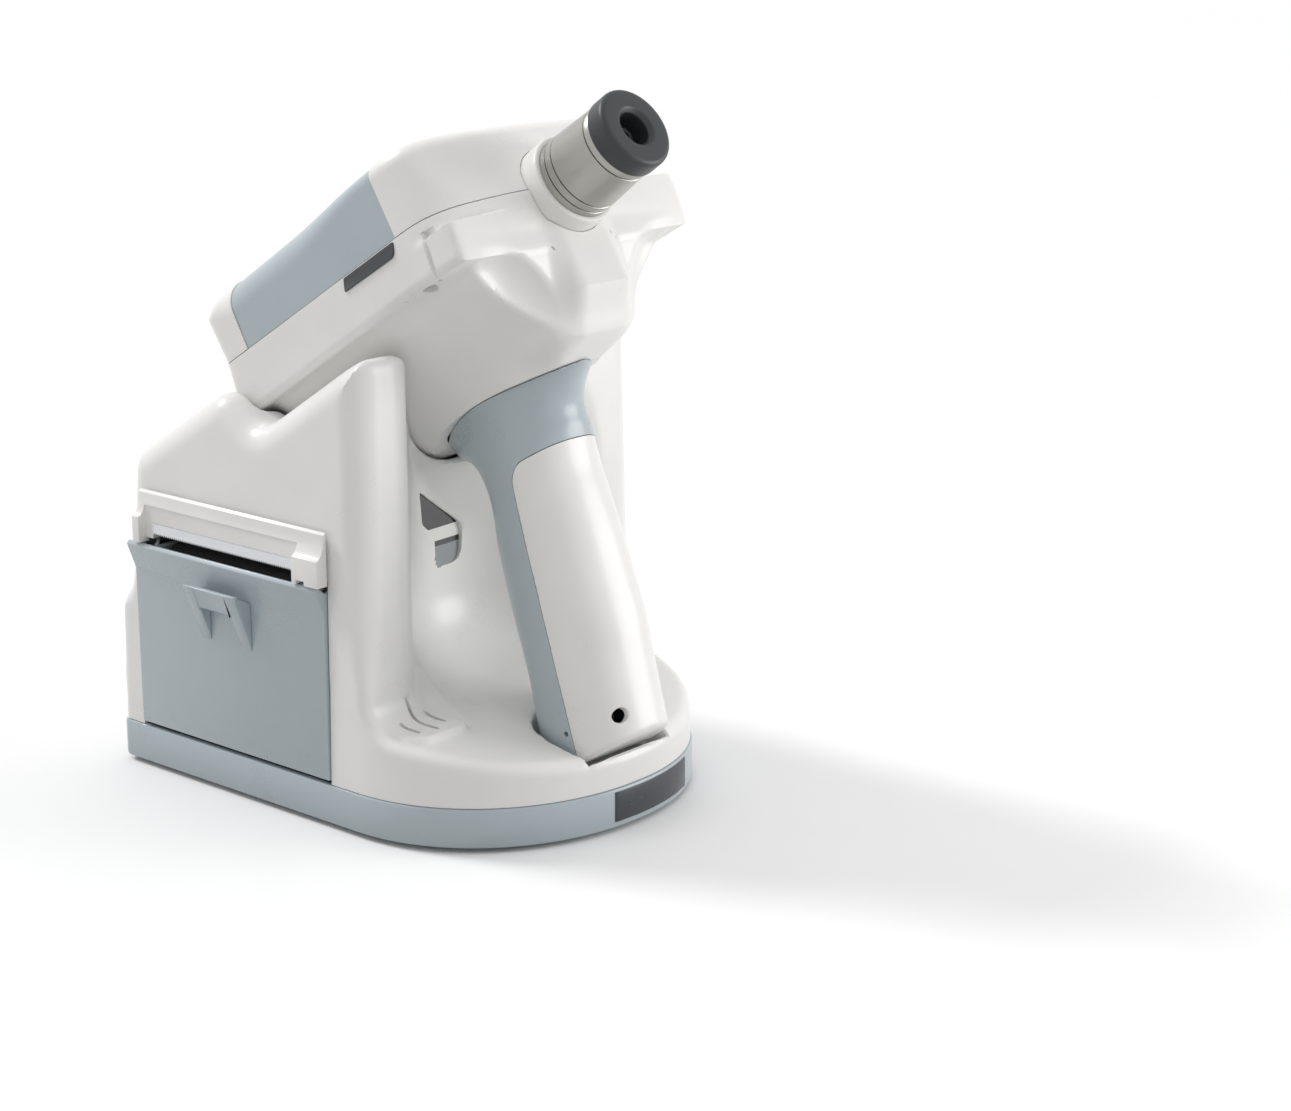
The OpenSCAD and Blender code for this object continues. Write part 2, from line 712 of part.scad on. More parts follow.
// Funnel from the head down to the handle, t inside its outer faces
module neck_solid(t) {
    difference() {
        hull() {
            translate([-112, 0, -19]) linear_extrude(0.1)
                polygon(rounded(box_outline(112 - 2 * t, head_w - 11 - 2 * t), [9, 9, 9, 9], 3));
            translate([grip_u + 3.3, 0, -neck_drop]) linear_extrude(0.1)
                polygon(rounded(box_outline(78 - 2 * t, neck_w - 2 * t), [14, 14, 14, 14], 3));
        }
        for (s = [-1, 1]) translate([-48, s * 52, -47]) sphere(r = scoop_r + t, $fn = 48);
    }
}

module nozzle_hole() {
    rotate([0, 90, 0]) translate([0, 0, -60]) cylinder(r = ring_r + slip, h = 40);
}

// Side outline of the three upper mouldings, from the parting line upwards
function upper_zone(low_l, low_r, top_l, top_r) = [
    [low_l, seam / 2], [low_r, seam / 2], [top_r, 60], [top_l, 60]
];
module upper_shell(zone) {
    intersection() {
        difference() {
            head_solid(0);
            head_solid(skin);
        }
        along_y(head_w + 20) polygon(zone);
    }
}
front_seam = [-70, -64];
rear_seam = [head_rear + 8.5, head_rear + 38];
head_post = [-64.5, head_w / 2 - 6];

module head_front_shell() color(white) in_head() {
    difference() {
        union() {
            upper_shell(upper_zone(front_seam[0] + seam, 0, front_seam[1] + seam, 0));
            for (s = [-1, 1]) translate([head_post.x, s * head_post.y, seam / 2])
                cylinder(r = 4, h = 12);
        }
        nozzle_hole();
        for (s = [-1, 1]) translate([head_post.x, s * head_post.y, 0])
            cylinder(r = screw_r + run_gap, h = 10);
    }
}

module top_cover() color(blue) in_head() {
    upper_shell(upper_zone(rear_seam[0], front_seam[0], rear_seam[1], front_seam[1]));
}

face_lean = atan2(9.5, 26.5);
// Display frame: x up the rear face, z out of it
module display_axes() {
    translate([head_rear + 4.75, 0, 25.25]) rotate([0, face_lean - 90, 0]) children();
}
key_x = 5.4;
key_y = display_w / 2 + 13;
module rear_bezel() color(white) in_head() {
    difference() {
        upper_shell(upper_zone(-200, rear_seam[0] - seam, -200, rear_seam[1] - seam));
        display_axes() {
            block([-display_h / 2 - 0.3, -display_w / 2 - 0.3, -5],
                  [display_h / 2 + 0.3, display_w / 2 + 0.3, 5]);
            for (x = [-key_x, key_x], s = [-1, 1])
                translate([x, s * key_y, -5]) cylinder(r = key_r + 0.3, h = 10);
        }
    }
}

module display_window() color(dark) in_head() display_axes() {
    block([-display_h / 2, -display_w / 2, -skin], [display_h / 2, display_w / 2, -0.3]);
}

module display_module() color(board) in_head() display_axes() {
    block([-10.5, -display_w / 2 - 3, -skin - 2.2 - key_travel],
          [10, display_w / 2 + 3, -skin - 0.6]);
    block([-11, -key_y - 7, -skin - 3.8 - key_travel],
          [10, key_y + 7, -skin - 2.2 - key_travel]);
}

module key(up, side) color(dark) in_head() display_axes() {
    translate([up * key_x, side * key_y, 0]) {
        translate([0, 0, -skin - 1]) cylinder(r = key_r, h = skin + 2.4);
        translate([0, 0, -skin - 1.9]) cylinder(r = key_r + 0.9, h = 1);
    }
}
module key_menu() key(1, 1);
module key_back() key(-1, 1);
module key_up() key(1, -1);
module key_down() key(-1, -1);

// Place, side and foot of the posts that carry the deck
ledge_posts = [[-158, 1, -13.5], [-158, -1, -13.5], [-86, 1, -18], [-86, -1, -18]];
deck_z = -11;
module head_lower_shell() color(white) in_head() {
    difference() {
        union() {
            difference() {
                union() {
                    head_solid(0);
                    neck_solid(0);
                }
                head_solid(skin);
                neck_solid(skin);
                translate([grip_u + 3.3, 0, -neck_drop - 1]) linear_extrude(3)
                    polygon(box_outline(78 - 2 * skin - 8, neck_w - 2 * skin - 8));
            }
            for (s = [-1, 1]) translate([head_post.x, s * head_post.y, -19])
                cylinder(r = 4, h = 19 - seam / 2);
            for (p = ledge_posts) translate([p.x, p.y * (head_w / 2 - 5.5), p.z])
                cylinder(r = 3, h = deck_z - p.z);
        }
        nozzle_hole();
        for (s = [-1, 1]) translate([head_post.x, s * head_post.y, -30]) {
            cylinder(r = screw_r + run_gap, h = 40);
            cylinder(r = 3.2, h = 13.5);
        }
        block([-220, -100, -seam / 2], [0, 100, 60]);
    }
}

module head_screws() color(steel) in_head() {
    for (s = [-1, 1]) translate([head_post.x, s * head_post.y, -18.7]) {
        cylinder(r = 3, h = 2.2);
        cylinder(r = screw_r, h = 26);
    }
}

module side_badge() color(dark) in_head() {
    block([-113, -head_w / 2 - badge_t, -7], [-75, -head_w / 2, -0.6]);
}

// Nozzle -------------------------------------------------------------------------------
ring_len = 12;
module about_axis() {
    rotate([0, 90, 0]) rotate_extrude() children();
}
module nozzle_ring() color([0.9, 0.89, 0.84]) in_head() about_axis() {
    back = -nozzle_reach - ring_len;
    polygon([[13, back], [ring_r, back], [ring_r, -nozzle_reach - 1],
             [ring_r - 1, -nozzle_reach], [13, -nozzle_reach]]);
}

groove = 0.7;
tube_r = 12.5;
module nozzle_barrel() color(steel) in_head() difference() {
    about_axis() polygon([[tube_r, -nozzle_reach], [barrel_r, -nozzle_reach],
                          [barrel_r - 1.3, -cap_len], [tube_r, -cap_len]]);
    for (g = [[-cap_len - 3, 1.1], [-nozzle_reach + 4, 0.2], [-nozzle_reach + 7.5, 0.4]])
        about_axis() translate([barrel_r - g[1] - 0.5, g[0]]) square([4, groove]);
}

module nozzle_cap() color(dark) in_head() about_axis() {
    polygon(cap_outline);
}

jet_r = 3;
jet_end = -6.5;
module front_window() color([0.6, 0.75, 0.8, 0.4]) in_head() about_axis() {
    translate([jet_r + 0.1, -cap_len - 2.5]) square([tube_r - 0.1 - jet_r - 0.1, 2.48]);
}

cylinder_x = [-112, -68];
end_wall = 4;
module air_tube() color(steel) in_head() about_axis() {
    translate([jet_r / 2, cylinder_x[1]]) square([jet_r / 2, jet_end - cylinder_x[1]]);
}

// Works inside the head ----------------------------------------------------------------
deck = [-165, -78];
deck_t = 2.5;
board_v = 20;
cylinder_r = bore_r + cylinder_wall;
board_corners = [[-146, 41], [-146, -41], [-90, 41], [-90, -41]];
module optics_chassis() color([0.3, 0.31, 0.33]) in_head() {
    difference() {
        union() {
            block([deck[0], -head_w / 2 + 4, deck_z], [deck[1], head_w / 2 - 4, deck_z + deck_t]);
            block([deck[1] - 1, -38, deck_z], [-nozzle_reach - ring_len, 38, deck_z + deck_t]);
            block([-nozzle_reach - ring_len - 4, -16, deck_z],
                  [-nozzle_reach - ring_len, 16, 14]);
            for (u = [-108, -80]) block([u, -14, deck_z], [u + 6, 14, -2]);
            for (p = board_corners) translate([p.x, p.y, deck_z])
                cylinder(r = 2.5, h = board_v - deck_z);
        }
        rotate([0, 90, 0]) translate([0, 0, cylinder_x[0] - 2])
            cylinder(r = cylinder_r + 0.05, h = cylinder_x[1] - cylinder_x[0] + 4);
        rotate([0, 90, 0]) translate([0, 0, -60]) cylinder(r = 10, h = 20);
    }
}

module air_cylinder() color(steel) in_head() about_axis() {
    polygon([[bore_r, cylinder_x[0]], [cylinder_r, cylinder_x[0]], [cylinder_r, cylinder_x[1]],
             [jet_r / 2, cylinder_x[1]], [jet_r / 2, cylinder_x[1] - end_wall],
             [bore_r, cylinder_x[1] - end_wall]]);
}

piston_face = cylinder_x[1] - end_wall - stroke - 5;
piston_len = 7;
coil_x = [-152, -118];
module piston() color(brass) in_head() about_axis() {
    polygon([[0, coil_x[0] + 6], [rod_r, coil_x[0] + 6], [rod_r, piston_face - piston_len],
             [bore_r - run_gap, piston_face - piston_len], [bore_r - run_gap, piston_face],
             [0, piston_face]]);
}

module solenoid() color([0.55, 0.3, 0.2]) in_head() difference() {
    block([coil_x[0], -13, deck_z + deck_t], [coil_x[1], 13, 13]);
    rotate([0, 90, 0]) translate([0, 0, coil_x[0] - 1]) cylinder(r = rod_r + run_gap, h = 60);
}

spring_turns = 4;
spring_r = bore_r - 2.2;
spring_steps = 18;
spring_sides = 6;
// Compression spring between the piston and the closed end of the cylinder
module return_spring() color(steel) in_head() {
    from = piston_face + wire_r + 0.1;
    length = cylinder_x[1] - end_wall - wire_r - 0.1 - from;
    rings = spring_turns * spring_steps;
    points = [for (i = [0 : rings], j = [0 : spring_sides - 1])
        let (a = 360 * i / spring_steps, b = 360 * j / spring_sides,
             r = spring_r + wire_r * cos(b))
            [from + length * i / rings + wire_r * sin(b), r * cos(a), r * sin(a)]];
    n = spring_sides;
    walls = [for (i = [0 : rings - 1], j = [0 : n - 1])
        [i * n + j, i * n + (j + 1) % n, (i + 1) * n + (j + 1) % n, (i + 1) * n + j]];
    polyhedron(points, concat([[for (j = [n - 1 : -1 : 0]) j]], walls,
                              [[for (j = [0 : n - 1]) rings * n + j]]));
}

module camera_module() color(dark) in_head() {
    block([-74, 18, deck_z + deck_t], [-62, 34, 6]);
    translate([0, 26, -1]) bar_x(-62, -56, 5);
}

module main_board() color(board) in_head() {
    block([-150, -45, board_v], [-84, 45, board_v + 1.6]);
    block([-140, -20, board_v + 1.6], [-124, -4, board_v + 3.6]);
    block([-116, 6, board_v + 1.6], [-104, 18, board_v + 3.6]);
    block([-112, -36, board_v + 1.6], [-98, -26, board_v + 6]);
}

// Handle -------------------------------------------------------------------------------
foot_v = 191;
heel_z = 26;
pad_proud = 0.4;
collar_drop = 20;
lap = 0.4;
divide_x = 3;
grip_len = 150;
grip_r = 18;
function grip_section(t) = rounded(box_outline(grip_d - 2 * t, grip_w - 2 * t),
                                   [grip_r, grip_r, grip_r, grip_r]);
// Straight part of the handle with its two foot faces, t inside its outer faces
module grip_solid(t) {
    intersection() {
        grip_axes() translate([0, 0, -grip_len]) linear_extrude(grip_len)
            polygon(grip_section(t));
        block([-260, -60, -foot_v + t], [0, 60, -neck_drop - collar_drop + lap]);
        rotate([0, tilt, 0]) translate([-tip_x, 0, -tip_z])
            block([-40, -60, heel_z + t], [160, 60, tip_z]);
    }
}
// Waist between the neck and the straight part
module collar_solid(t) {
    low = -neck_drop - collar_drop;
    shift = collar_drop * tan(grip_lean);
    hull() {
        translate([grip_u + 3.3, 0, -neck_drop - 0.3]) linear_extrude(0.1)
            polygon(rounded(box_outline(78 - 2 * t, neck_w - 2 * t), [14, 14, 14, 14], 3));
        translate([grip_u - shift, 0, low]) linear_extrude(0.1)
            polygon(rounded(box_outline(grip_d / cos(grip_lean) - 2 * t, grip_w - 2 * t),
                            [grip_r, grip_r, grip_r, grip_r], 3));
    }
}
module behind_divide(gap) {
    grip_axes() block([-60, -60, -grip_len], [divide_x - gap, 60, 40]);
}
screw_y = -12;
screw_z = -120.6;
shelf_z = -112;

module handle_body() color(blue) in_head() {
    difference() {
        union() {
            difference() {
                collar_solid(0);
                collar_solid(skin);
                translate([0, 0, -neck_drop - 0.8]) linear_extrude(3)
                    translate([grip_u + 3.3, 0]) polygon(box_outline(60, neck_w - 14));
                translate([0, 0, -neck_drop - collar_drop - 2]) linear_extrude(4)
                    translate([grip_u - 6.3, 0]) polygon(box_outline(34, grip_w - 14));
            }
            intersection() {
                difference() {
                    grip_solid(0);
                    grip_solid(skin);
                }
                behind_divide(seam / 2);
            }
            intersection() {
                grip_solid(skin / 2);
                grip_axes() union() {
                    block([-30, -30, shelf_z - 4], [divide_x - 1, 30, shelf_z]);
                    block([-6, screw_y - 5, screw_z - 5], [12, screw_y + 5, shelf_z - 4]);
                    block([-6, screw_y - 5, screw_z - 5], [divide_x - 1, screw_y + 5, shelf_z]);
                }
            }
        }
        grip_axes() translate([0, screw_y, screw_z]) rotate([0, 90, 0])
            cylinder(r = screw_r + run_gap, h = 30);
        rotate([0, tilt, 0]) translate([-tip_x, 0, -tip_z]) for (s = [-1, 1])
            translate([pin_x, s * pin_y, heel_z - 2]) cylinder(r = 3.05, h = 2 + skin + 0.1);
    }
}

module battery_cover() color(white) in_head() {
    difference() {
        intersection() {
            difference() {
                grip_solid(0);
                grip_solid(skin);
            }
            block([-260, -60, -foot_v - 1], [0, 60, -neck_drop - collar_drop - seam]);
        }
        behind_divide(-seam / 2);
        grip_axes() translate([0, screw_y, screw_z]) rotate([0, 90, 0])
            cylinder(r = 3, h = 40);
    }
}

module cover_screw() color(steel) in_head() grip_axes() {
    translate([0, screw_y, screw_z]) {
        bar_x(2, 14, screw_r);
        bar_x(12.1, 15.5, 2.6);
    }
}

module battery_pack() color([0.25, 0.3, 0.35]) in_head() grip_axes() {
    r = min(cell_r, (grip_w - 2 * skin - 2.4) / 4);
    for (s = [-1, 1]) translate([-3, s * (r + 0.1), shelf_z + 1.5])
        cylinder(r = r, h = cell_len);
    for (z = [shelf_z, shelf_z + 1.5 + cell_len])
        block([-11, -2 * r + 2, z], [5, 2 * r - 2, z + 1.5]);
}

module contact_pads() color(brass) in_dock() {
    for (s = [-1, 1]) translate([pin_x, s * pin_y, heel_z - pad_proud])
        cylinder(r = 3, h = pad_proud + skin);
}

// Drawing ------------------------------------------------------------------------------
base_tray();
rubber_feet();
tray_screws();
dock_shell();
base_badge();
status_lights();
infrared_window();
dock_board();
power_inlet();
contact_block();
charge_pin_left();
charge_pin_right();
printer_bezel();
tear_blade();
printer_frame();
print_head();
feed_motor();
roll_spindle();
door_hinge_pin();
printer_door();
door_pull();
platen_bushes();
platen_roller();
platen_shaft();
platen_gear();
idler_gear();
motor_pinion();
paper_roll();
roll_core();
head_front_shell();
top_cover();
rear_bezel();
head_lower_shell();
side_badge();
head_screws();
display_window();
display_module();
key_menu();
key_back();
key_up();
key_down();
nozzle_ring();
nozzle_barrel();
nozzle_cap();
front_window();
air_tube();
optics_chassis();
air_cylinder();
piston();
return_spring();
solenoid();
camera_module();
main_board();
handle_body();
battery_cover();
cover_screw();
battery_pack();
contact_pads();
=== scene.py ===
"""Looks of a hand-held air-puff tonometer that stands in its charging and printing dock.

Each large moulding is a form: a function that gives how far a point lies outside its
surface, in millimetres. Forms are joined and cut with rounded edges, then meshed. The
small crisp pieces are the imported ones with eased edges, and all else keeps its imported
shape and gets a finish.
"""
import json
import logging
import math
from dataclasses import dataclass, field
from enum import Enum
from typing import Callable, Optional, Sequence

import bmesh
import bpy
import numpy as np
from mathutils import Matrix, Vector


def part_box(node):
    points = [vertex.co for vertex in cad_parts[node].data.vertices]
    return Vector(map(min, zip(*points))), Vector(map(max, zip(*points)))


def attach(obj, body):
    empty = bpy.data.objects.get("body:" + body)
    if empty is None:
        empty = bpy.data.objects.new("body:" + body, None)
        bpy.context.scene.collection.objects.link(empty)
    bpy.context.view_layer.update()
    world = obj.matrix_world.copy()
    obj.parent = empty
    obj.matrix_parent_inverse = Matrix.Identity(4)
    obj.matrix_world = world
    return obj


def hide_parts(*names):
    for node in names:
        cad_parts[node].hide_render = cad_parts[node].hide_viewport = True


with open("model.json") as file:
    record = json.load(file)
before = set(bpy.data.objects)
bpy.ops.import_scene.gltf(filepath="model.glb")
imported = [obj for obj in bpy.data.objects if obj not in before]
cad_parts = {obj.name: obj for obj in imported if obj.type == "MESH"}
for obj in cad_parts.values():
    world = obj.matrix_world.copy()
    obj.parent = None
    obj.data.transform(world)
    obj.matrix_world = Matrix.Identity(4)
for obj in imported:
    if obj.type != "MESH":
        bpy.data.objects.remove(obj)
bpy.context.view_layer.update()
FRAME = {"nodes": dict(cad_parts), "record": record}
LOG = logging.getLogger("tonometer")
MM = 0.001
TINY = 1e-9
CRISP = 32.0
Array = np.ndarray
Pair = tuple[float, float]
Place = tuple[float, float, float]
Points = Sequence[Pair]
Form = Callable[[Array, Array, Array], Array]
Faces = Sequence[Sequence[int]] | np.ndarray
Piece = bpy.types.Object
Tree = bpy.types.NodeTree
Node = bpy.types.Node
Socket = bpy.types.NodeSocket


# Forms --------------------------------------------------------------------------------
def cross(a: Array, b: Array, r: Array | float = 0.0) -> Array:
    """Keeps what lies inside both forms, with the outer edge rounded.

    Args:
        a: Distance outside the first form, in mm.
        b: Distance outside the second form, in mm.
        r: Radius of the rounded edge, in mm.

    Returns:
        Distance outside the common part, in mm.
    """
    corner = np.hypot(np.maximum(a + r, 0), np.maximum(b + r, 0))
    return np.minimum(np.maximum(a, b), -r) + corner


def fuse(a: Array, b: Array, r: Array | float = 0.0) -> Array:
    """Joins two forms with a fillet of radius r where they meet."""
    return -cross(-a, -b, r)


def carve(a: Array, b: Array, r: Array | float = 0.0) -> Array:
    """Takes form b out of form a and rounds the lips by r."""
    return cross(a, -b, r)


def ease(value: Array, low: float, high: float) -> Array:
    """Rises smoothly from 0 at low to 1 at high."""
    t = np.clip((value - low) / (high - low), 0, 1)
    return t * t * (3 - 2 * t)


def box_away(a: Array, b: Array, wide: float, deep: float, r: float) -> Array:
    """Gives the distance from a rounded rectangle of half sizes wide and deep."""
    qa, qb = np.abs(a) - wide + r, np.abs(b) - deep + r
    return np.minimum(np.maximum(qa, qb), 0) + np.hypot(np.maximum(qa, 0), np.maximum(qb, 0)) - r


def eased_corners(points: Points, sizes: Sequence[float], steps: int = 10) -> list[Pair]:
    """Replaces the corners of an outline by curves.

    Args:
        points: Corners in order.
        sizes: How far from each corner its curve starts, in mm.
        steps: Number of chords in each curve.

    Returns:
        The new outline.
    """
    done: list[Pair] = []
    ring = [np.array(p, float) for p in points]
    for i, corner in enumerate(ring):
        if not sizes[i]:
            done.append(tuple(corner))
            continue
        back, ahead = ring[i - 1] - corner, ring[(i + 1) % len(ring)] - corner
        a = corner + back / np.linalg.norm(back) * sizes[i]
        b = corner + ahead / np.linalg.norm(ahead) * sizes[i]
        for t in np.linspace(0, 1, steps + 1):
            done.append(tuple((1 - t) ** 2 * a + 2 * t * (1 - t) * corner + t * t * b))
    return done


@dataclass(frozen=True)
class Outline:
    """Closed plane outline."""

    points: Points

    def away(self, a: Array, b: Array) -> Array:
        """Measures the distance outside the outline.

        Args:
            a: First coordinate of each point.
            b: Second coordinate of each point.

        Returns:
            Distance in mm, negative inside.
        """
        near: Optional[Array] = None
        inside: Optional[Array] = None
        ring = list(self.points)
        for (p0, p1), (q0, q1) in zip(ring, ring[1:] + ring[:1]):
            e0, e1 = q0 - p0, q1 - p1
            size = e0 * e0 + e1 * e1
            if size < 1e-12:
                continue
            wa, wb = a - p0, b - p1
            t = np.clip((wa * e0 + wb * e1) / size, 0, 1)
            gap = (wa - t * e0) ** 2 + (wb - t * e1) ** 2
            near = gap if near is None else np.minimum(near, gap)
            if (p1 > q1) == (p1 < q1):
                continue
            flips = ((p1 > b) != (q1 > b)) & (wa < e0 * wb / e1)
            inside = flips if inside is None else inside ^ flips
        return np.where(inside, -1.0, 1.0) * np.sqrt(near)


@dataclass(frozen=True)
class Curve:
    """Smooth curve through a table of places and values, in rising order of place."""

    table: Points

    def at(self, place: Array) -> Array:
        """Gives the value at each place; beyond the ends it stays level."""
        keys, values = np.array(self.table, float).T
        slopes = np.gradient(values, keys)
        fine = np.linspace(keys[0], keys[-1], 12 * len(keys))
        i = np.clip(np.searchsorted(keys, fine) - 1, 0, len(keys) - 2)
        gap = keys[i + 1] - keys[i]
        t = (fine - keys[i]) / gap
        line = ((2 * t ** 3 - 3 * t ** 2 + 1) * values[i] + (t ** 3 - 2 * t ** 2 + t) * gap * slopes[i]
                + (3 * t ** 2 - 2 * t ** 3) * values[i + 1] + (t ** 3 - t ** 2) * gap * slopes[i + 1])
        return np.interp(place, fine, line)


def leaned(x: Array, z: Array, at: Pair, angle: float) -> tuple[Array, Array]:
    """Turns upright coordinates into those of a frame that leans.

    Args:
        x: Forward coordinate.
        z: Upward coordinate.
        at: Where the leaning frame's origin stands.
        angle: Rise of its first axis, in degrees.

    Returns:
        Coordinates along the leaning frame's first and second axis.
    """
    c, s = math.cos(math.radians(angle)), math.sin(math.radians(angle))
    return (x - at[0]) * c + (z - at[1]) * s, (z - at[1]) * c - (x - at[0]) * s


# Meshes -------------------------------------------------------------------------------
def contour(form: Form, low: Sequence[float], high: Sequence[float], step: float) -> tuple[Array, Array]:
    """Meshes the surface of a form, keeping its sharp edges.

    Args:
        form: The form, in mm.
        low: Lowest corner of the space to search.
        high: Highest corner of that space.
        step: Cell size.

    Returns:
        Points in mm, and four point numbers for each face.
    """
    low, high = np.array(low, float), np.array(high, float)
    count = np.ceil((high - low) / step).astype(int) + 1
    lines = [(low[k] + step * np.arange(count[k])).astype(np.float32) for k in range(3)]
    shape = [lines[0][:, None, None], lines[1][None, :, None], lines[2][None, None, :]]
    value = np.broadcast_to(form(*shape), tuple(count))
    cells = count - 1
    span = np.array([cells[1] * cells[2], cells[2], 1])
    owners, places, slopes, quads = [], [], [], []
    for axis in range(3):
        head = [slice(None)] * 3
        tail = [slice(None)] * 3
        head[axis], tail[axis] = slice(0, -1), slice(1, None)
        f0, f1 = value[tuple(head)], value[tuple(tail)]
        at = np.argwhere((f0 < 0) != (f1 < 0))
        one, two = (axis + 1) % 3, (axis + 2) % 3
        keep = (at[:, one] > 0) & (at[:, one] < cells[one]) & (at[:, two] > 0) & (at[:, two] < cells[two])
        at = at[keep]
        a, b = f0[tuple(at.T)].astype(float), f1[tuple(at.T)].astype(float)
        base = low + at * step
        left, right = np.zeros(len(a)), np.ones(len(a))
        f_left, f_right = a, b
        share = a / (a - b)
        for _ in range(3):
            spot = base.copy()
            spot[:, axis] += share * step
            off = form(spot[:, 0], spot[:, 1], spot[:, 2])
            same = (off < 0) == (a < 0)
            left, f_left = np.where(same, share, left), np.where(same, off, f_left)
            right, f_right = np.where(same, right, share), np.where(same, f_right, off)
            drop = f_left - f_right
            drop = np.where(np.abs(drop) < TINY, TINY, drop)
            share = left + (right - left) * np.clip(f_left / drop, 0.02, 0.98)
        spot = base.copy()
        spot[:, axis] += share * step
        slope = steepness(form, spot)
        ring = []
        for d1, d2 in ((0, 0), (-1, 0), (-1, -1), (0, -1)):
            cell = at.copy()
            cell[:, one] += d1
            cell[:, two] += d2
            number = cell @ span
            ring.append(number)
            owners.append(number)
            places.append(spot)
            slopes.append(slope)
        quad = np.stack(ring, 1)
        quads.append(np.where((a < 0)[:, None], quad, quad[:, ::-1]))
    owner, place, slope = np.concatenate(owners), np.concatenate(places), np.concatenate(slopes)
    names, index = np.unique(owner, return_inverse=True)
    total = np.bincount(index).astype(float)
    middle = np.stack([np.bincount(index, place[:, k]) / total for k in range(3)], 1)
    reach = ((place - middle[index]) * slope).sum(1)
    square = np.zeros((len(names), 3, 3))
    pull = np.zeros((len(names), 3))
    for i in range(3):
        pull[:, i] = np.bincount(index, slope[:, i] * reach)
        for j in range(3):
            square[:, i, j] = np.bincount(index, slope[:, i] * slope[:, j])
    square += np.eye(3) * 0.1
    move = np.linalg.solve(square, pull[:, :, None])[:, :, 0]
    corner = np.stack(np.unravel_index(names, tuple(cells)), 1) * step + low
    points = np.clip(middle + move, corner - 0.05 * step, corner + 1.05 * step)
    faces = np.searchsorted(names, np.concatenate(quads))
    return points, faces


def steepness(form: Form, spot: Array, h: float = 0.02) -> Array:
    """Gives the unit direction in which a form's distance grows at each spot."""
    grown = []
    for k in range(3):
        ahead, back = spot.copy(), spot.copy()
        ahead[:, k] += h
        back[:, k] -= h
        grown.append(form(ahead[:, 0], ahead[:, 1], ahead[:, 2]) - form(back[:, 0], back[:, 1], back[:, 2]))
    slope = np.stack(grown, 1)
    return slope / np.maximum(np.linalg.norm(slope, axis=1, keepdims=True), TINY)


@dataclass(frozen=True)
class Axes:
    """Drawing axes of a sub-assembly, placed in the model."""

    origin: Place
    rise: float = 0.0

    def to_model(self, points: Array) -> Array:
        """Moves points in mm on these axes to metres in the model."""
        c, s = math.cos(math.radians(self.rise)), math.sin(math.radians(self.rise))
        turn = np.array([[c, 0, s], [0, 1, 0], [-s, 0, c]])
        return (np.asarray(points, float) @ turn) * MM + np.array(self.origin)


def add_mesh(name: str, points: Array, faces: Faces, crisp: float = CRISP) -> Piece:
    """Puts a mesh in the scene.

    Args:
        name: Name of the piece.
        points: Points in metres.
        faces: Point numbers of each face.
        crisp: Angle in degrees above which an edge stays sharp.

    Returns:
        The new object.
    """
    mesh = bpy.data.meshes.new(name)
    mesh.from_pydata(np.asarray(points).tolist(), [], [list(map(int, f)) for f in faces])
    mesh.validate()
    mesh.shade_smooth()
    mesh.set_sharp_from_angle(angle=math.radians(crisp))
    thing = bpy.data.objects.new(name, mesh)
    bpy.context.scene.collection.objects.link(thing)
    return thing


def lathe(profile: Points, steps: int = 128) -> tuple[Array, list[list[int]]]:
    """Turns a closed profile of (radius, place along the axis) about the first axis.

    Args:
        profile: Closed outline in mm.
        steps: Number of facets round the axis.

    Returns:
        Points in mm and faces.
    """
    angle = np.arange(steps) * 2 * math.pi / steps
    rings = [np.stack([np.full(steps, u), r * np.cos(angle), r * np.sin(angle)], 1) for r, u in profile]
    n = len(profile)
    faces = []
    for i in range(n):
        for j in range(steps):
            a, b = i * steps + j, i * steps + (j + 1) % steps
            c, d = (i + 1) % n * steps + (j + 1) % steps, (i + 1) % n * steps + j
            faces.append([a, b, c, d])
    return np.concatenate(rings), faces


def loft(rings: Sequence[Array], closed: bool) -> tuple[Array, list[list[int]]]:
    """Skins rings of equally many points.

    Args:
        rings: Rings of points, in order.
        closed: Whether the last ring joins the first; if not, both ends are capped.

    Returns:
        Points and faces.
    """
    n = len(rings[0])
    faces = []
    for i in range(len(rings) - (0 if closed else 1)):
        for j in range(n):
            a, b = i * n + j, i * n + (j + 1) % n
            c, d = (i + 1) % len(rings) * n + (j + 1) % n, (i + 1) % len(rings) * n + j
            faces.append([a, b, c, d])
    if not closed:
        faces.append(list(range(n))[::-1])
        faces.append([(len(rings) - 1) * n + j for j in range(n)])
    return np.concatenate(rings), faces


def apply_modifiers(thing: Piece) -> None:
    """Replaces a piece's mesh by what its modifiers make of it."""
    graph = bpy.context.evaluated_depsgraph_get()
    graph.update()
    mesh = bpy.data.meshes.new_from_object(thing.evaluated_get(graph))
    thing.modifiers.clear()
    thing.data = mesh


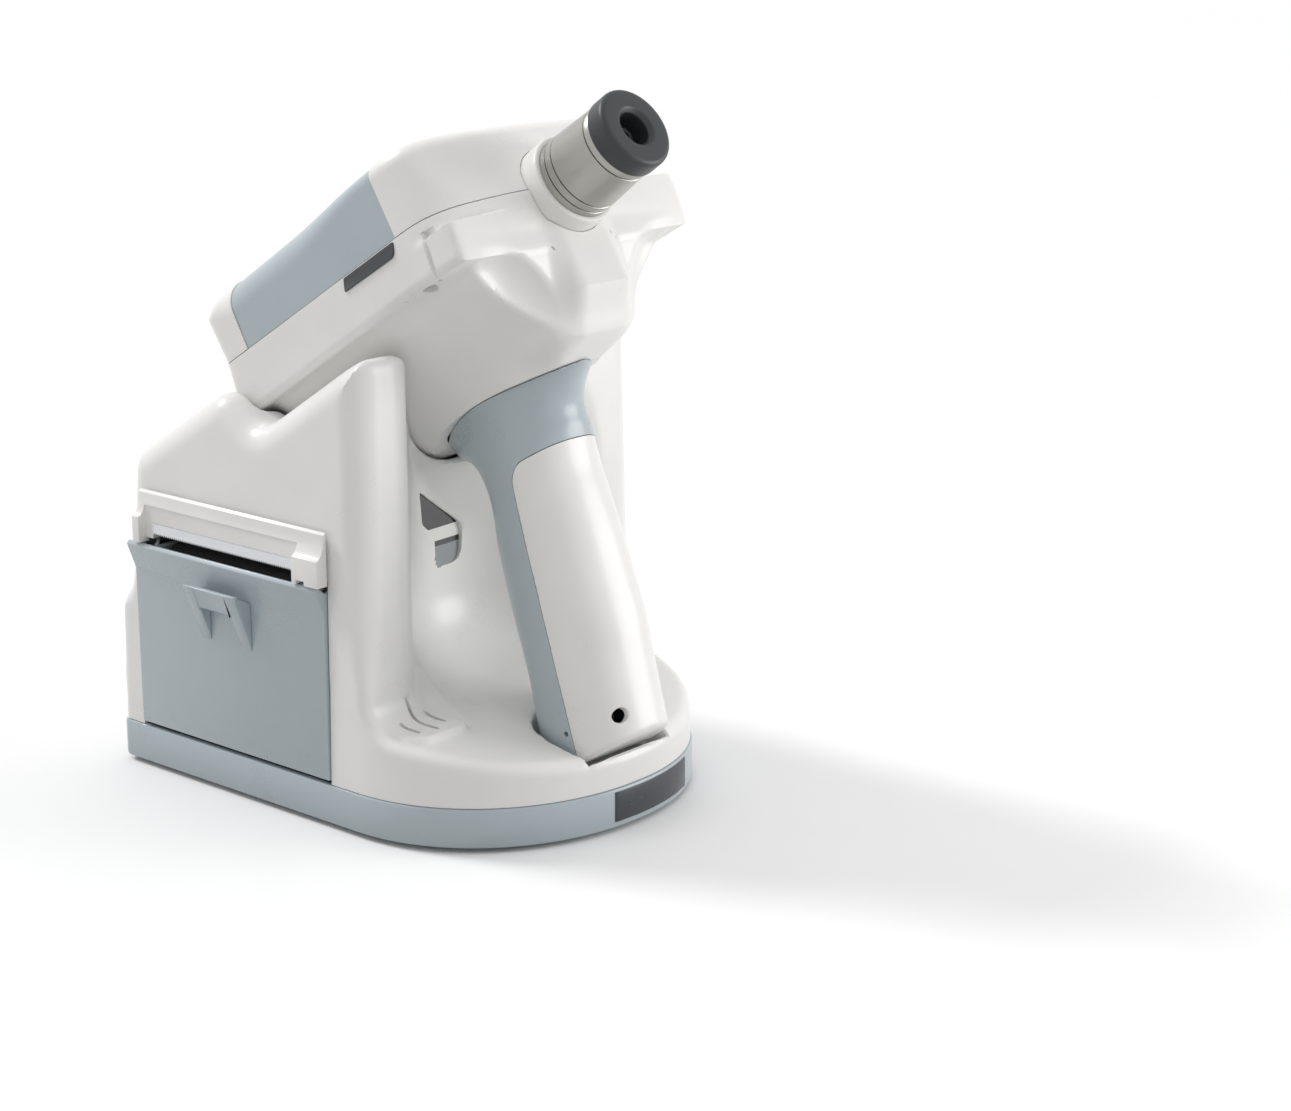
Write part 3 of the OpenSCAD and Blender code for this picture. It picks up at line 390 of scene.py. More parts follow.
def eased_copy(node: str, name: str, width: float, steps: int = 3) -> Piece:
    """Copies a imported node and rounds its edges.

    Args:
        node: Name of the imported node.
        name: Name of the new piece.
        width: Width of the rounding, in mm.
        steps: Facets across it.

    Returns:
        The new piece.
    """
    shape = bmesh.new()
    shape.from_mesh(FRAME["nodes"][node].data)
    bmesh.ops.remove_doubles(shape, verts=shape.verts, dist=2e-6)
    bmesh.ops.dissolve_limit(shape, angle_limit=math.radians(1.0), verts=shape.verts, edges=shape.edges)
    mesh = bpy.data.meshes.new(name)
    shape.to_mesh(mesh)
    shape.free()
    thing = bpy.data.objects.new(name, mesh)
    bpy.context.scene.collection.objects.link(thing)
    mesh.materials.clear()
    bevel = thing.modifiers.new("ease", "BEVEL")
    bevel.width = width * MM
    bevel.segments = steps
    bevel.limit_method = "ANGLE"
    bevel.angle_limit = math.radians(35)
    bevel.harden_normals = False
    apply_modifiers(thing)
    thing.data.shade_smooth()
    thing.data.set_sharp_from_angle(angle=math.radians(CRISP))
    return thing


# Finishes -----------------------------------------------------------------------------
class Grain(Enum):
    """Kinds of fine relief."""

    SATIN = "satin"
    SPARK = "spark"
    BRUSHED = "brushed"
    TURNED = "turned"
    WOUND = "wound"
    FIBRE = "fibre"
    SMOOTH = "smooth"


@dataclass(frozen=True)
class Finish:
    """Surface of a moulded, metal, glass or paper piece."""

    name: str
    colour: Place
    roughness: float
    grain: Grain = Grain.SATIN
    spread: float = 0.06
    relief: float = 0.1
    shade: float = 0.03
    metallic: float = 0.0
    coat: float = 0.0
    see_through: float = 0.0

    def stretch(self) -> Place:
        """Gives how finely the relief repeats along each axis, per metre."""
        return {
            Grain.SATIN: (1600.0, 1600.0, 1600.0),
            Grain.SPARK: (2600.0, 2600.0, 2600.0),
            Grain.BRUSHED: (160.0, 5200.0, 5200.0),
            Grain.TURNED: (6000.0, 240.0, 240.0),
            Grain.WOUND: (1700.0, 30.0, 30.0),
            Grain.FIBRE: (500.0, 900.0, 900.0),
            Grain.SMOOTH: (300.0, 300.0, 300.0),
        }[self.grain]

    def material(self) -> bpy.types.Material:
        """Builds the material once and gives it on every later call."""
        made = bpy.data.materials.get(self.name)
        if made:
            return made
        made = bpy.data.materials.new(self.name)
        made.use_nodes = True
        tree = made.node_tree
        shader = tree.nodes["Principled BSDF"]
        place = tree.nodes.new("ShaderNodeTexCoord")
        fine = self.noise(tree, place, self.stretch(), 3.0, 0.6)
        broad = self.noise(tree, place, (28.0, 28.0, 28.0), 3.0, 0.55)
        self.tint(tree, shader, broad, fine)
        self.polish(tree, shader, broad, fine)
        self.emboss(tree, shader, fine)
        shader.inputs["Metallic"].default_value = self.metallic
        shader.inputs["Coat Weight"].default_value = self.coat
        shader.inputs["Coat Roughness"].default_value = 0.12
        shader.inputs["Transmission Weight"].default_value = self.see_through
        shader.inputs["IOR"].default_value = 1.49
        return made

    def noise(self, tree: Tree, place: Node, per_metre: Place, detail: float, rough: float) -> Socket:
        """Adds a noise pattern.

        Args:
            tree: Node tree of the material.
            place: Node that gives object coordinates.
            per_metre: Repeats along each axis.
            detail: Octaves.
            rough: Weight of the finer octaves.

        Returns:
            The pattern's value, 0 to 1.
        """
        scale = tree.nodes.new("ShaderNodeVectorMath")
        scale.operation = "MULTIPLY"
        scale.inputs[1].default_value = per_metre
        tree.links.new(place.outputs["Object"], scale.inputs[0])
        made = tree.nodes.new("ShaderNodeTexNoise")
        made.inputs["Scale"].default_value = 1.0
        made.inputs["Detail"].default_value = detail
        made.inputs["Roughness"].default_value = rough
        tree.links.new(scale.outputs[0], made.inputs["Vector"])
        return made.outputs["Fac"]

    def between(self, tree: Tree, value: Socket, low: float, high: float) -> Socket:
        """Maps the middle of a pattern's range to low and high."""
        made = tree.nodes.new("ShaderNodeMapRange")
        made.inputs["From Min"].default_value = 0.3
        made.inputs["From Max"].default_value = 0.7
        made.inputs["To Min"].default_value = low
        made.inputs["To Max"].default_value = high
        tree.links.new(value, made.inputs["Value"])
        return made.outputs["Result"]

    def tint(self, tree: Tree, shader: Node, broad: Socket, fine: Socket) -> None:
        """Lets the colour drift a little over the surface."""
        mix = tree.nodes.new("ShaderNodeMix")
        mix.data_type = "RGBA"
        mix.inputs[6].default_value = (*(c * (1 - self.shade) for c in self.colour), 1)
        mix.inputs[7].default_value = (*(min(1.0, c * (1 + self.shade * 0.6)) for c in self.colour), 1)
        source = fine if self.grain in (Grain.WOUND, Grain.FIBRE, Grain.BRUSHED) else broad
        tree.links.new(self.between(tree, source, 0.0, 1.0), mix.inputs[0])
        tree.links.new(mix.outputs[2], shader.inputs["Base Color"])

    def polish(self, tree: Tree, shader: Node, broad: Socket, fine: Socket) -> None:
        """Lets the gloss vary with handling marks and with the grain."""
        mix = tree.nodes.new("ShaderNodeMath")
        mix.operation = "ADD"
        low, high = self.roughness - self.spread / 2, self.roughness + self.spread / 2
        tree.links.new(self.between(tree, broad, -self.spread, self.spread), mix.inputs[0])
        tree.links.new(self.between(tree, fine, low, high), mix.inputs[1])
        tree.links.new(mix.outputs[0], shader.inputs["Roughness"])

    def emboss(self, tree: Tree, shader: Node, fine: Socket) -> None:
        """Raises the fine grain."""
        bump = tree.nodes.new("ShaderNodeBump")
        bump.inputs["Strength"].default_value = self.relief
        bump.inputs["Distance"].default_value = 0.00012
        tree.links.new(fine, bump.inputs["Height"])
        tree.links.new(bump.outputs["Normal"], shader.inputs["Normal"])


WHITE = Finish("warm white moulding", (0.84, 0.83, 0.81), 0.33, relief=0.05, coat=0.12)
BLUE = Finish("blue grey moulding", (0.44, 0.505, 0.535), 0.32, relief=0.06, coat=0.12)
IVORY = Finish("ivory ring moulding", (0.81, 0.80, 0.77), 0.36, relief=0.05)
BLACK = Finish("black soft moulding", (0.028, 0.03, 0.033), 0.42, Grain.SPARK, relief=0.2)
DARK = Finish("dark badge plastic", (0.045, 0.05, 0.057), 0.24, Grain.SMOOTH, relief=0.02)
SMOKED = Finish("smoked window", (0.012, 0.013, 0.016), 0.06, Grain.SMOOTH, 0.02, 0.01, coat=0.6)
RUBBER = Finish("black rubber", (0.03, 0.03, 0.03), 0.78, Grain.SPARK, relief=0.5)
STEEL = Finish("brushed steel", (0.62, 0.63, 0.65), 0.3, Grain.BRUSHED, 0.08, 0.12, metallic=1.0)
# Painted shade: the barrel's colour is kept far darker than bare aluminium, so that it shows the darker
# reflections of its surroundings.
BARREL = Finish("satin turned aluminium", (0.36, 0.355, 0.33), 0.3, Grain.TURNED, 0.05, 0.1, metallic=0.9)
CASTING = Finish("dark powder coat", (0.07, 0.075, 0.085), 0.55, Grain.SPARK, relief=0.4, shade=0.08)
GOLD = Finish("plated contact", (0.83, 0.62, 0.28), 0.22, Grain.SMOOTH, metallic=1.0)
LAMINATE = Finish("green board lacquer", (0.035, 0.17, 0.09), 0.3, Grain.FIBRE, shade=0.2, coat=0.3)
COPPER = Finish("taped winding", (0.42, 0.16, 0.07), 0.38, Grain.WOUND, relief=0.6, shade=0.25)
PAPER = Finish("thermal paper", (0.88, 0.88, 0.87), 0.6, Grain.FIBRE, relief=0.1, shade=0.02)
CARD = Finish("brown card", (0.36, 0.25, 0.15), 0.85, Grain.FIBRE, relief=0.4, shade=0.15)
WRAP = Finish("cell wrap", (0.07, 0.13, 0.2), 0.3, Grain.SMOOTH)
LIGHTS = Finish("light pipe", (0.30, 0.32, 0.33), 0.25, Grain.SMOOTH)
CLEAR = Finish("clear optic", (0.92, 0.95, 0.96), 0.04, Grain.SMOOTH, 0.01, 0.0, see_through=0.95)
FLOOR = Finish("pale studio floor", (0.90, 0.90, 0.90), 0.85, relief=0.02, shade=0.005)


def place_piece(thing: Piece, finish: Finish, body: str, slot: str, *nodes: str) -> None:
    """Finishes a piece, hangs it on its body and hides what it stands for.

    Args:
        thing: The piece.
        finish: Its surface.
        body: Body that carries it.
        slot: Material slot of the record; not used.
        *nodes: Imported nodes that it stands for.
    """
    thing.data.materials.clear()
    thing.data.materials.append(finish.material())
    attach(thing, body)
    if nodes:
        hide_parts(*nodes)
    LOG.info("%s: %d faces on %s", thing.name, len(thing.data.polygons), body)


# Dock ---------------------------------------------------------------------------------
TAIL = 140.0
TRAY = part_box("base_tray")
DOCK = Axes((TRAY[0][0] + TAIL * MM, (TRAY[0][1] + TRAY[1][1]) / 2, 0.0))
SLIDE = next(j for j in FRAME["record"]["behaviour"]["joints"] if j["name"] == "piston_slide")["axis"]
TILT = math.degrees(math.atan2(SLIDE[2], SLIDE[0]))
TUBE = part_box("air_tube")
TUBE_MIDDLE = -37.25
HEAD_AT = tuple(float((TUBE[0][k] + TUBE[1][k]) / 2 - TUBE_MIDDLE * MM * SLIDE[k]) for k in range(3))
HEAD = Axes(HEAD_AT, TILT)
TIP = tuple((HEAD_AT[k] - DOCK.origin[k]) / MM for k in range(3))


def into_head(x: Array, z: Array) -> tuple[Array, Array]:
    """Turns dock coordinates into the head's, along and above the nozzle axis."""
    return leaned(x, z, (TIP[0], TIP[2]), TILT)


@dataclass
class HeadForm:
    """Outer form of the head, with the neck below it."""

    half_width: float = 62.5
    top: float = 33.4
    top_slope: float = 0.0425
    crown: float = 2.4
    column: float = 17.5
    scoop_at: Place = (-46.0, 36.0, -38.0)
    scoop_size: Place = (28.0, 15.5, 15.0)
    face_at: Pair = (-182.75, 25.25)
    face_rise: float = 70.28
    face_half: float = 53.0
    side: Outline = field(default_factory=lambda: Outline([
        (-71.0, -18.2), (-48.0, -20.5), (-42.5, 0.0), (-52.5, 42.0), (-175.0, 52.0), (-180.0, 41.0),
        (-189.0, 31.0), (-189.5, -12.6)]))
    plan_high: Outline = field(default_factory=lambda: Outline(eased_corners(
        [(-200.0, -62.5), (-53.0, -62.5), (-37.0, 0.0), (-53.0, 62.5), (-200.0, 62.5)],
        [0, 17, 30, 17, 0], 8)))
    plan_low: Outline = field(default_factory=lambda: Outline(eased_corners(
        [(-200.0, -62.5), (-46.0, -62.5), (-41.0, 0.0), (-44.0, 62.5), (-200.0, 62.5)],
        [0, 4, 30, 4, 0], 6)))
    neck_side: Outline = field(default_factory=lambda: Outline(eased_corners([
        (-60.0, 0.0), (-178.0, 0.0), (-185.5, -13.0), (-183.0, -40.0), (-176.0, -52.5), (-158.0, -55.5),
        (-150.0, -60.0), (-145.0, -75.0), (-96.0, -75.0), (-80.0, -57.5), (-58.0, -53.5), (-46.0, -18.0)],
        [0, 0, 5, 9, 7, 5, 4, 0, 0, 6, 6, 6], 5)))
    column_side: Outline = field(default_factory=lambda: Outline([
        (-110.0, 0.0), (-110.0, -75.0), (-96.0, -75.0), (-80.0, -56.5), (-57.5, -53.5), (-45.0, -39.5),
        (-44.0, -12.0), (-60.0, 0.0)]))
    neck_half: Curve = field(default_factory=lambda: Curve([
        (-75.0, 19.0), (-60.0, 20.0), (-52.0, 21.4), (-46.0, 25.0), (-40.0, 30.5), (-30.0, 41.5),
        (-22.0, 50.5), (-16.0, 55.5), (5.0, 55.5)]))
    seam: Curve = field(default_factory=lambda: Curve([
        (-170.0, -56.5), (-150.0, -54.5), (-140.0, -53.2), (-127.0, -52.3), (-115.0, -52.5),
        (-102.5, -53.8), (-90.0, -55.6), (-79.0, -57.0), (-64.0, -58.0)]))

    def parting(self, u: Array) -> Array:
        """Gives the height of the joint between upper and lower mouldings."""
        return -0.06 * (u + 22)

    def block(self, u: Array, y: Array, v: Array) -> Array:
        """Gives the head alone."""
        step = 5.5 * ease(y, -30, 30) - 4.5
        high = ease(v, step - 1.2, step + 1.2)
        plan = self.plan_low.away(u, y) * (1 - high) + self.plan_high.away(u, y) * high
        sides = cross(self.side.away(u, v), plan, 3.0 + 5.0 * ease(v, -6, 14))
        lid = v - self.top + self.top_slope * (u + 60) + self.crown * (y / self.half_width) ** 2
        flank = 6.0 * ease(-u, 80, 130) * ease(np.abs(y), 26, 50)
        shape = cross(sides, lid, 5.5 + flank - 3.0 * ease(-u, 170, 185))
        _, out = leaned(u, v, self.face_at, self.face_rise)
        recess = cross(-out, np.abs(y) - self.face_half, 2.0)
        return carve(shape, np.maximum(recess, 6.0 - v), 1.2)

    def scoops(self, u: Array, y: Array, v: Array) -> Array:
        """Gives the two hollows in which fingers rest."""
        middle_u, middle_y, middle_v = self.scoop_at
        long, wide, deep = self.scoop_size
        in_y, up_v = middle_y - np.abs(y), v - middle_v
        along = in_y * 0.717 - up_v * 0.697
        over = in_y * 0.697 + up_v * 0.717
        wide = wide - 1.5 * np.clip(over / 12, -1, 1)
        size = np.sqrt((along / long) ** 2 + (over / wide) ** 2 + ((u - middle_u) / deep) ** 2)
        return (size - 1) * 14.0

    def funnel(self, u: Array, y: Array, v: Array) -> Array:
        """Gives the wide part of the neck."""
        flanks = (np.abs(y) - self.neck_half.at(v)) * 0.8
        return cross(self.neck_side.away(u, v), flanks, 15.0 - 10.0 * ease(u, -92, -62))

    def neck(self, u: Array, y: Array, v: Array) -> Array:
        """Gives the funnel between the head and the handle, with its front column."""
        column = cross(self.column_side.away(u, v), np.abs(y) - self.column, 8.0)
        return carve(fuse(self.funnel(u, y, v), column, 4.0), self.scoops(u, y, v), 1.6)

    def grown_neck(self, gap: float) -> Form:
        """Gives the room that the neck needs in the tower, in dock coordinates."""
        def room(x: Array, y: Array, z: Array) -> Array:
            u, v = into_head(x, z)
            return self.funnel(u, y, v) - gap
        return room

    def grown_head(self, gap: float) -> Form:
        """Gives the room that the head needs in the tower, in dock coordinates."""
        side = Outline([(-40.0, -19.0), (-71.0, -19.0), (-187.4, -13.0), (-187.5, 60.0), (-40.0, 60.0)])

        def room(x: Array, y: Array, z: Array) -> Array:
            u, v = into_head(x, z)
            return cross(side.away(u, v), np.abs(y) - self.half_width, 4.0) - gap
        return room

    def whole(self, u: Array, y: Array, v: Array) -> Array:
        """Gives head and neck in one."""
        blend = 3.0 + 9.0 * ease(-u, 58, 84) * (1 - ease(np.abs(y), 40, 56))
        return fuse(self.block(u, y, v), self.neck(u, y, v), blend)


@dataclass
class HandleForm:
    """Outer form of the handle, in the head's coordinates."""

    lean: float = 17.5
    centre: float = -108.8
    collar_top: float = -60.0
    collar_low: float = -80.0
    foot: float = -191.0
    heel: float = 26.0
    divide: float = 3.0
    back: Curve = field(default_factory=lambda: Curve([
        (-191.0, -178.0), (-165.0, -167.6), (-150.0, -161.6), (-130.0, -155.7), (-115.0, -150.9),
        (-100.0, -145.4), (-90.0, -141.0), (-82.0, -139.4), (-76.0, -139.6), (-70.0, -141.0),
        (-66.0, -144.0), (-62.0, -149.0), (-58.0, -152.0), (-54.0, -154.0), (-46.0, -156.0)]))
    front: Curve = field(default_factory=lambda: Curve([
        (-191.0, -125.0), (-165.0, -115.8), (-150.0, -110.1), (-130.0, -105.2), (-115.0, -101.6),
        (-100.0, -98.5), (-90.0, -96.5), (-82.0, -93.6), (-76.0, -90.8), (-70.0, -89.0),
        (-66.0, -86.0), (-62.0, -80.8), (-58.0, -73.0), (-54.0, -69.0), (-46.0, -64.0)]))
    half_wide: Curve = field(default_factory=lambda: Curve([
        (-191.0, 21.6), (-130.0, 22.0), (-90.0, 21.8), (-80.0, 21.2), (-66.0, 21.0),
        (-58.0, 20.6), (-50.0, 21.6), (-44.0, 25.0)]))
    power: Curve = field(default_factory=lambda: Curve([
        (-191.0, 2.5), (-100.0, 2.35), (-76.0, 2.2), (-66.0, 2.0), (-58.0, 1.75), (-50.0, 1.7)]))

    def section(self, u: Array, y: Array, v: Array) -> Array:
        """Gives the endless handle with its collar."""
        back, front, wide, p = self.back.at(v), self.front.at(v), self.half_wide.at(v), self.power.at(v)
        deep = (front - back) / 2
        a = np.abs(u - (front + back) / 2) / deep + 1e-6
        b = np.abs(y) / wide + 1e-6
        size = (a ** p + b ** p) ** (1 / p)
        grow = size ** (1 - p) * np.hypot(a ** (p - 1) / deep, b ** (p - 1) / wide)
        return (size - 1) / grow * 0.93

    def height(self, u: Array, v: Array) -> Array:
        """Gives the height over the table of points of the resting handle."""
        a = math.radians(TILT)
        return TIP[2] + u * math.sin(a) + v * math.cos(a)

    def solid(self, u: Array, y: Array, v: Array) -> Array:
        """Gives the handle with its foot."""
        body = cross(self.section(u, y, v), self.foot - v, 2.2)
        return cross(body, self.heel - self.height(u, v), 1.8)

    def cup(self, x: Array, y: Array, z: Array, gap: float) -> Array:
        """Gives the room for the foot, in dock coordinates."""
        u, v = into_head(x, z)
        return np.maximum(np.maximum(self.section(u, y, v) - gap, self.foot - gap - v), self.heel - 2.0 - z)


HEAD_FORM = HeadForm()
HANDLE_FORM = HandleForm()


@dataclass
class DockShell:
    """White shell of the dock: nose, pillars, niche, cup and printer openings."""

    nose: float = 72.4
    tail: float = TAIL
    rear_r: float = 4.5
    half: float = 80.0
    power: float = 2.1
    inset: float = 0.8
    low: float = 17.9
    rim: float = 31.0
    floor_rise: float = 0.178
    niche_at: float = 20.0
    niche_r: float = 50.0
    wall: float = 3.8
    step: float = 1.5
    profile: Outline = field(default_factory=lambda: Outline(eased_corners(
        [(-141.7, -10.0), (8.0, -10.0), (5.0, 60.0), (3.0, 186.0), (-9.0, 179.5), (-45.0, 156.6),
         (-56.5, 150.0), (-76.0, 163.0), (-131.0, 130.0)], [0, 0, 20, 8, 6, 7, 7, 8, 7])))
    window: Outline = field(default_factory=lambda: Outline(eased_corners(
        [(-15.5, 119.5), (-14.0, 105.6), (-5.7, 99.5), (-5.4, 86.0), (8.6, 86.0), (9.6, 101.5)],
        [1.5, 2, 4, 6.5, 6.5, 4])))
    pad_low: Pair = (-1.0, -71.0)
    pad_high: Pair = (27.0, -43.0)
    pad_top: float = 43.0
    slots: Sequence[Place] = ((11.0, 9.5, -65.0), (18.5, 4.0, -57.0), (11.5, 6.5, -49.0))
    door_middle: float = -70.0
    door_half: float = 56.0
    door_top: float = 97.6

    def outline(self, inset: float, steps: int = 60) -> Outline:
        """Gives the dock seen from above, inset from the tray's edge."""
        ring = []
        for i in range(steps + 1):
            a = -math.pi / 2 + math.pi * i / steps
            c, s = abs(math.cos(a)) ** (2 / self.power), abs(math.sin(a)) ** (2 / self.power)
            ring.append(((self.nose - inset) * c, (self.half - inset) * s * (1 if a > 0 else -1)))
        for start, side in ((90, 1), (180, -1)):
            for k in range(7):
                a = math.radians(start + 15 * k)
                ring.append((self.rear_r - self.tail + (self.rear_r - inset) * math.cos(a),
                             side * (self.half - self.rear_r) + (self.rear_r - inset) * math.sin(a)))
        return Outline(ring)

    def floor(self, x: Array) -> Array:
        """Gives the height of the nose's top."""
        return self.rim + self.floor_rise * (self.nose + 1 - x)

    def upper(self, x: Array, y: Array, z: Array) -> Array:
        """Gives tower and niche without the plan's sides."""
        round_part = np.where(x < self.niche_at, np.hypot(x - self.niche_at, y), np.abs(y)) - self.niche_r
        back = self.niche_at - self.niche_r
        lean = (back + 0.52 * (z - (109.5 - 0.72 * (y + 3))) - x) * 0.87
        niche = cross(round_part, lean, 2.0)
        return carve(self.profile.away(x, z), niche, 11.0)

    def body(self, x: Array, y: Array, z: Array) -> Array:
        """Gives the closed outside of the shell."""
        tower = fuse(z - self.floor(x), self.upper(x, y, z), 27.0 - 17.0 * ease(np.abs(y), 36, 50))
        lean = np.maximum(z - self.low, 0)
        sides = self.outline(self.inset).away(x - 0.012 * lean * ease(-x, 40, 140), y * (1 + 0.0002 * lean))
        shape = cross(sides, tower, 4.5 + 6.5 * ease(z, 50, 95))
        mid = ((self.pad_low[0] + self.pad_high[0]) / 2, (self.pad_low[1] + self.pad_high[1]) / 2)
        wide = (self.pad_high[0] - self.pad_low[0]) / 2
        tile = cross(box_away(x - mid[0], y - mid[1], wide, wide, 6.5), z - self.pad_top, 1.6)
        tile = np.maximum(tile, 25.0 - z)
        shape = fuse(shape, tile, 2.0)
        shape = carve(shape, HEAD_FORM.grown_head(1.2)(x, y, z), 3.0)
        return carve(shape, HEAD_FORM.grown_neck(1.2)(x, y, z), 3.0)

    def form(self, x: Array, y: Array, z: Array) -> Array:
        """Gives the shell with its wall and openings."""
        body = self.body(x, y, z)
        cup = HANDLE_FORM.cup(x, y, z, 2.2)
        shape = carve(body, cup, 1.4)
        room = np.maximum(body + self.wall, -(cup - self.wall))
        shape = np.maximum(shape, -room)
        slit = np.maximum(self.window.away(y + 0 * x, z + 0 * x), np.abs(x + 28) - 12)
        shape = carve(shape, slit, 0.5)
        for length, start, place in self.slots:
            bar = box_away(x - start - length / 2, y - place, length / 2, 0.9, 0.9)
            shape = np.maximum(shape, -np.maximum(bar, self.pad_top - 3.6 - z))
        door = np.maximum(np.abs(x - self.door_middle) - self.door_half, y + 64)
        door = np.maximum(door, z - self.door_top)
        shape = carve(shape, door, 0.5)
        mouth = np.maximum(np.maximum(np.abs(x - self.door_middle + 3) - 46, y + 71), np.abs(z - 101) - 6)
        shape = np.maximum(shape, -mouth)
        return np.maximum(shape, self.low - z)

    def build(self) -> None:
        """Meshes the shell, its window and the light bars."""
        points, faces = contour(self.form, (-143, -83, 14), (76, 83, 190), self.step)
        shell = add_mesh("dock_shell_moulding", DOCK.to_model(points), faces)
        place_piece(shell, WHITE, "dock", "shell_white", "dock_shell")
        self.pane("niche_window_pane", (80.5, 120.0), 0.0, SMOKED, "dark_glass", "infrared_window")
        self.pane("niche_window_band", (96.8, 102.2), 0.15, IVORY, "ring_plastic")
        self.pane("niche_window_foot", (80.5, 94.6), 0.15, LIGHTS, "light_pipe")
        for i, slot in enumerate(self.slots):
            points, faces = loft(self.light_bar(*slot), False)
            bar = add_mesh(f"light_bar_{i + 1}", DOCK.to_model(points), faces)
            place_piece(bar, LIGHTS, "dock", "light_pipe", *(["status_lights"] if i == 0 else []))

    def light_bar(self, length: float, start: float, place: float) -> list[Array]:
        """Gives the rings of a light bar in its slot in the pad.

        Args:
            length: Length of the bar.
            start: Where it starts along X.
            place: Its middle along Y.

        Returns:
            Rings from its foot to its eased top.
        """
        half = 0.85
        middle = np.array([start + length / 2, place])
        corners = [(start, place - half), (start + length, place - half),
                   (start + length, place + half), (start, place + half)]
        flat = np.array(eased_corners(corners, [0.8] * 4, 5)) - middle
        rings = []
        for inset, below in ((0.0, 3.4), (0.0, 1.0), (0.25, 0.75)):
            ring = flat * (1 - inset / np.array([length / 2, half])) + middle
            rings.append(np.column_stack([ring, np.full(len(ring), self.pad_top - below)]))
        return rings

    def pane(self, name: str, zs: Pair, out: float, finish: Finish, slot: str, *nodes: str) -> None:
        """Bends a pane behind the slot in the niche.

        Args:
            name: Name of the piece.
            zs: Its lowest and highest height.
            out: How far it stands before the window's own face.
            finish: Its surface.
            slot: Material slot of the record.
            *nodes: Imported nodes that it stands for.
        """
        corners = [(-21, zs[0]), (13.5, zs[0]), (13.5, zs[1]), (-21, zs[1])]
        rings = []
        for r in (54.4, 52.9 - out):
            ring = []
            for along, height in eased_corners(corners, [0.6] * 4, 3):
                turn = math.asin(along / 54)
                ring.append((self.niche_at - r * math.cos(turn), r * math.sin(turn), height))
            rings.append(np.array(ring))
        points, faces = loft(rings, False)
        place_piece(add_mesh(name, DOCK.to_model(points), faces), finish, "dock", slot, *nodes)


@dataclass
class BaseTray:
    """Coloured band under the shell, with its feet and blank badge."""

    height: float = 17.6
    foot: float = 2.0
    wall: float = 2.8

    def build(self, shell: DockShell) -> None:
        """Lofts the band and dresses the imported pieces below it."""
        steps = [(1.2, self.foot), (0.35, self.foot + 0.35), (0.0, self.foot + 1.2),
                 (0.0, self.height - 0.9), (0.25, self.height - 0.25), (0.9, self.height),
                 (self.wall, self.height), (self.wall, self.foot + 2.5)]
        rings = []
        for inset, z in steps:
            ring = np.array(shell.outline(inset, 96).points)
            rings.append(np.column_stack([ring, np.full(len(ring), z)]))
        points, faces = loft(rings, False)
        band = add_mesh("base_band", DOCK.to_model(points), faces)
        place_piece(band, BLUE, "dock", "shell_blue", "base_tray")
        badge = eased_copy("base_badge", "blank_nose_badge", 0.18, 2)
        place_piece(badge, DARK, "dock", "dark_plastic", "base_badge")
        feet = eased_copy("rubber_feet", "rubber_foot_pads", 0.5)
        place_piece(feet, RUBBER, "dock", "rubber", "rubber_feet")


@dataclass
class Printer:
    """Bezel, drop-down door and its pull; the tear blade gets its finish with the other imported pieces."""

    def build(self) -> None:
        """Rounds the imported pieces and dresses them."""
        bezel = eased_copy("printer_bezel", "paper_bezel", 0.9, 4)
        place_piece(bezel, WHITE, "dock", "shell_white", "printer_bezel")
        door = eased_copy("printer_door", "paper_door", 0.45, 3)
        place_piece(door, BLUE, "door", "shell_blue", "printer_door")
        pull = eased_copy("door_pull", "paper_door_pull", 0.55, 3)
        place_piece(pull, BLUE, "door", "shell_blue", "door_pull")


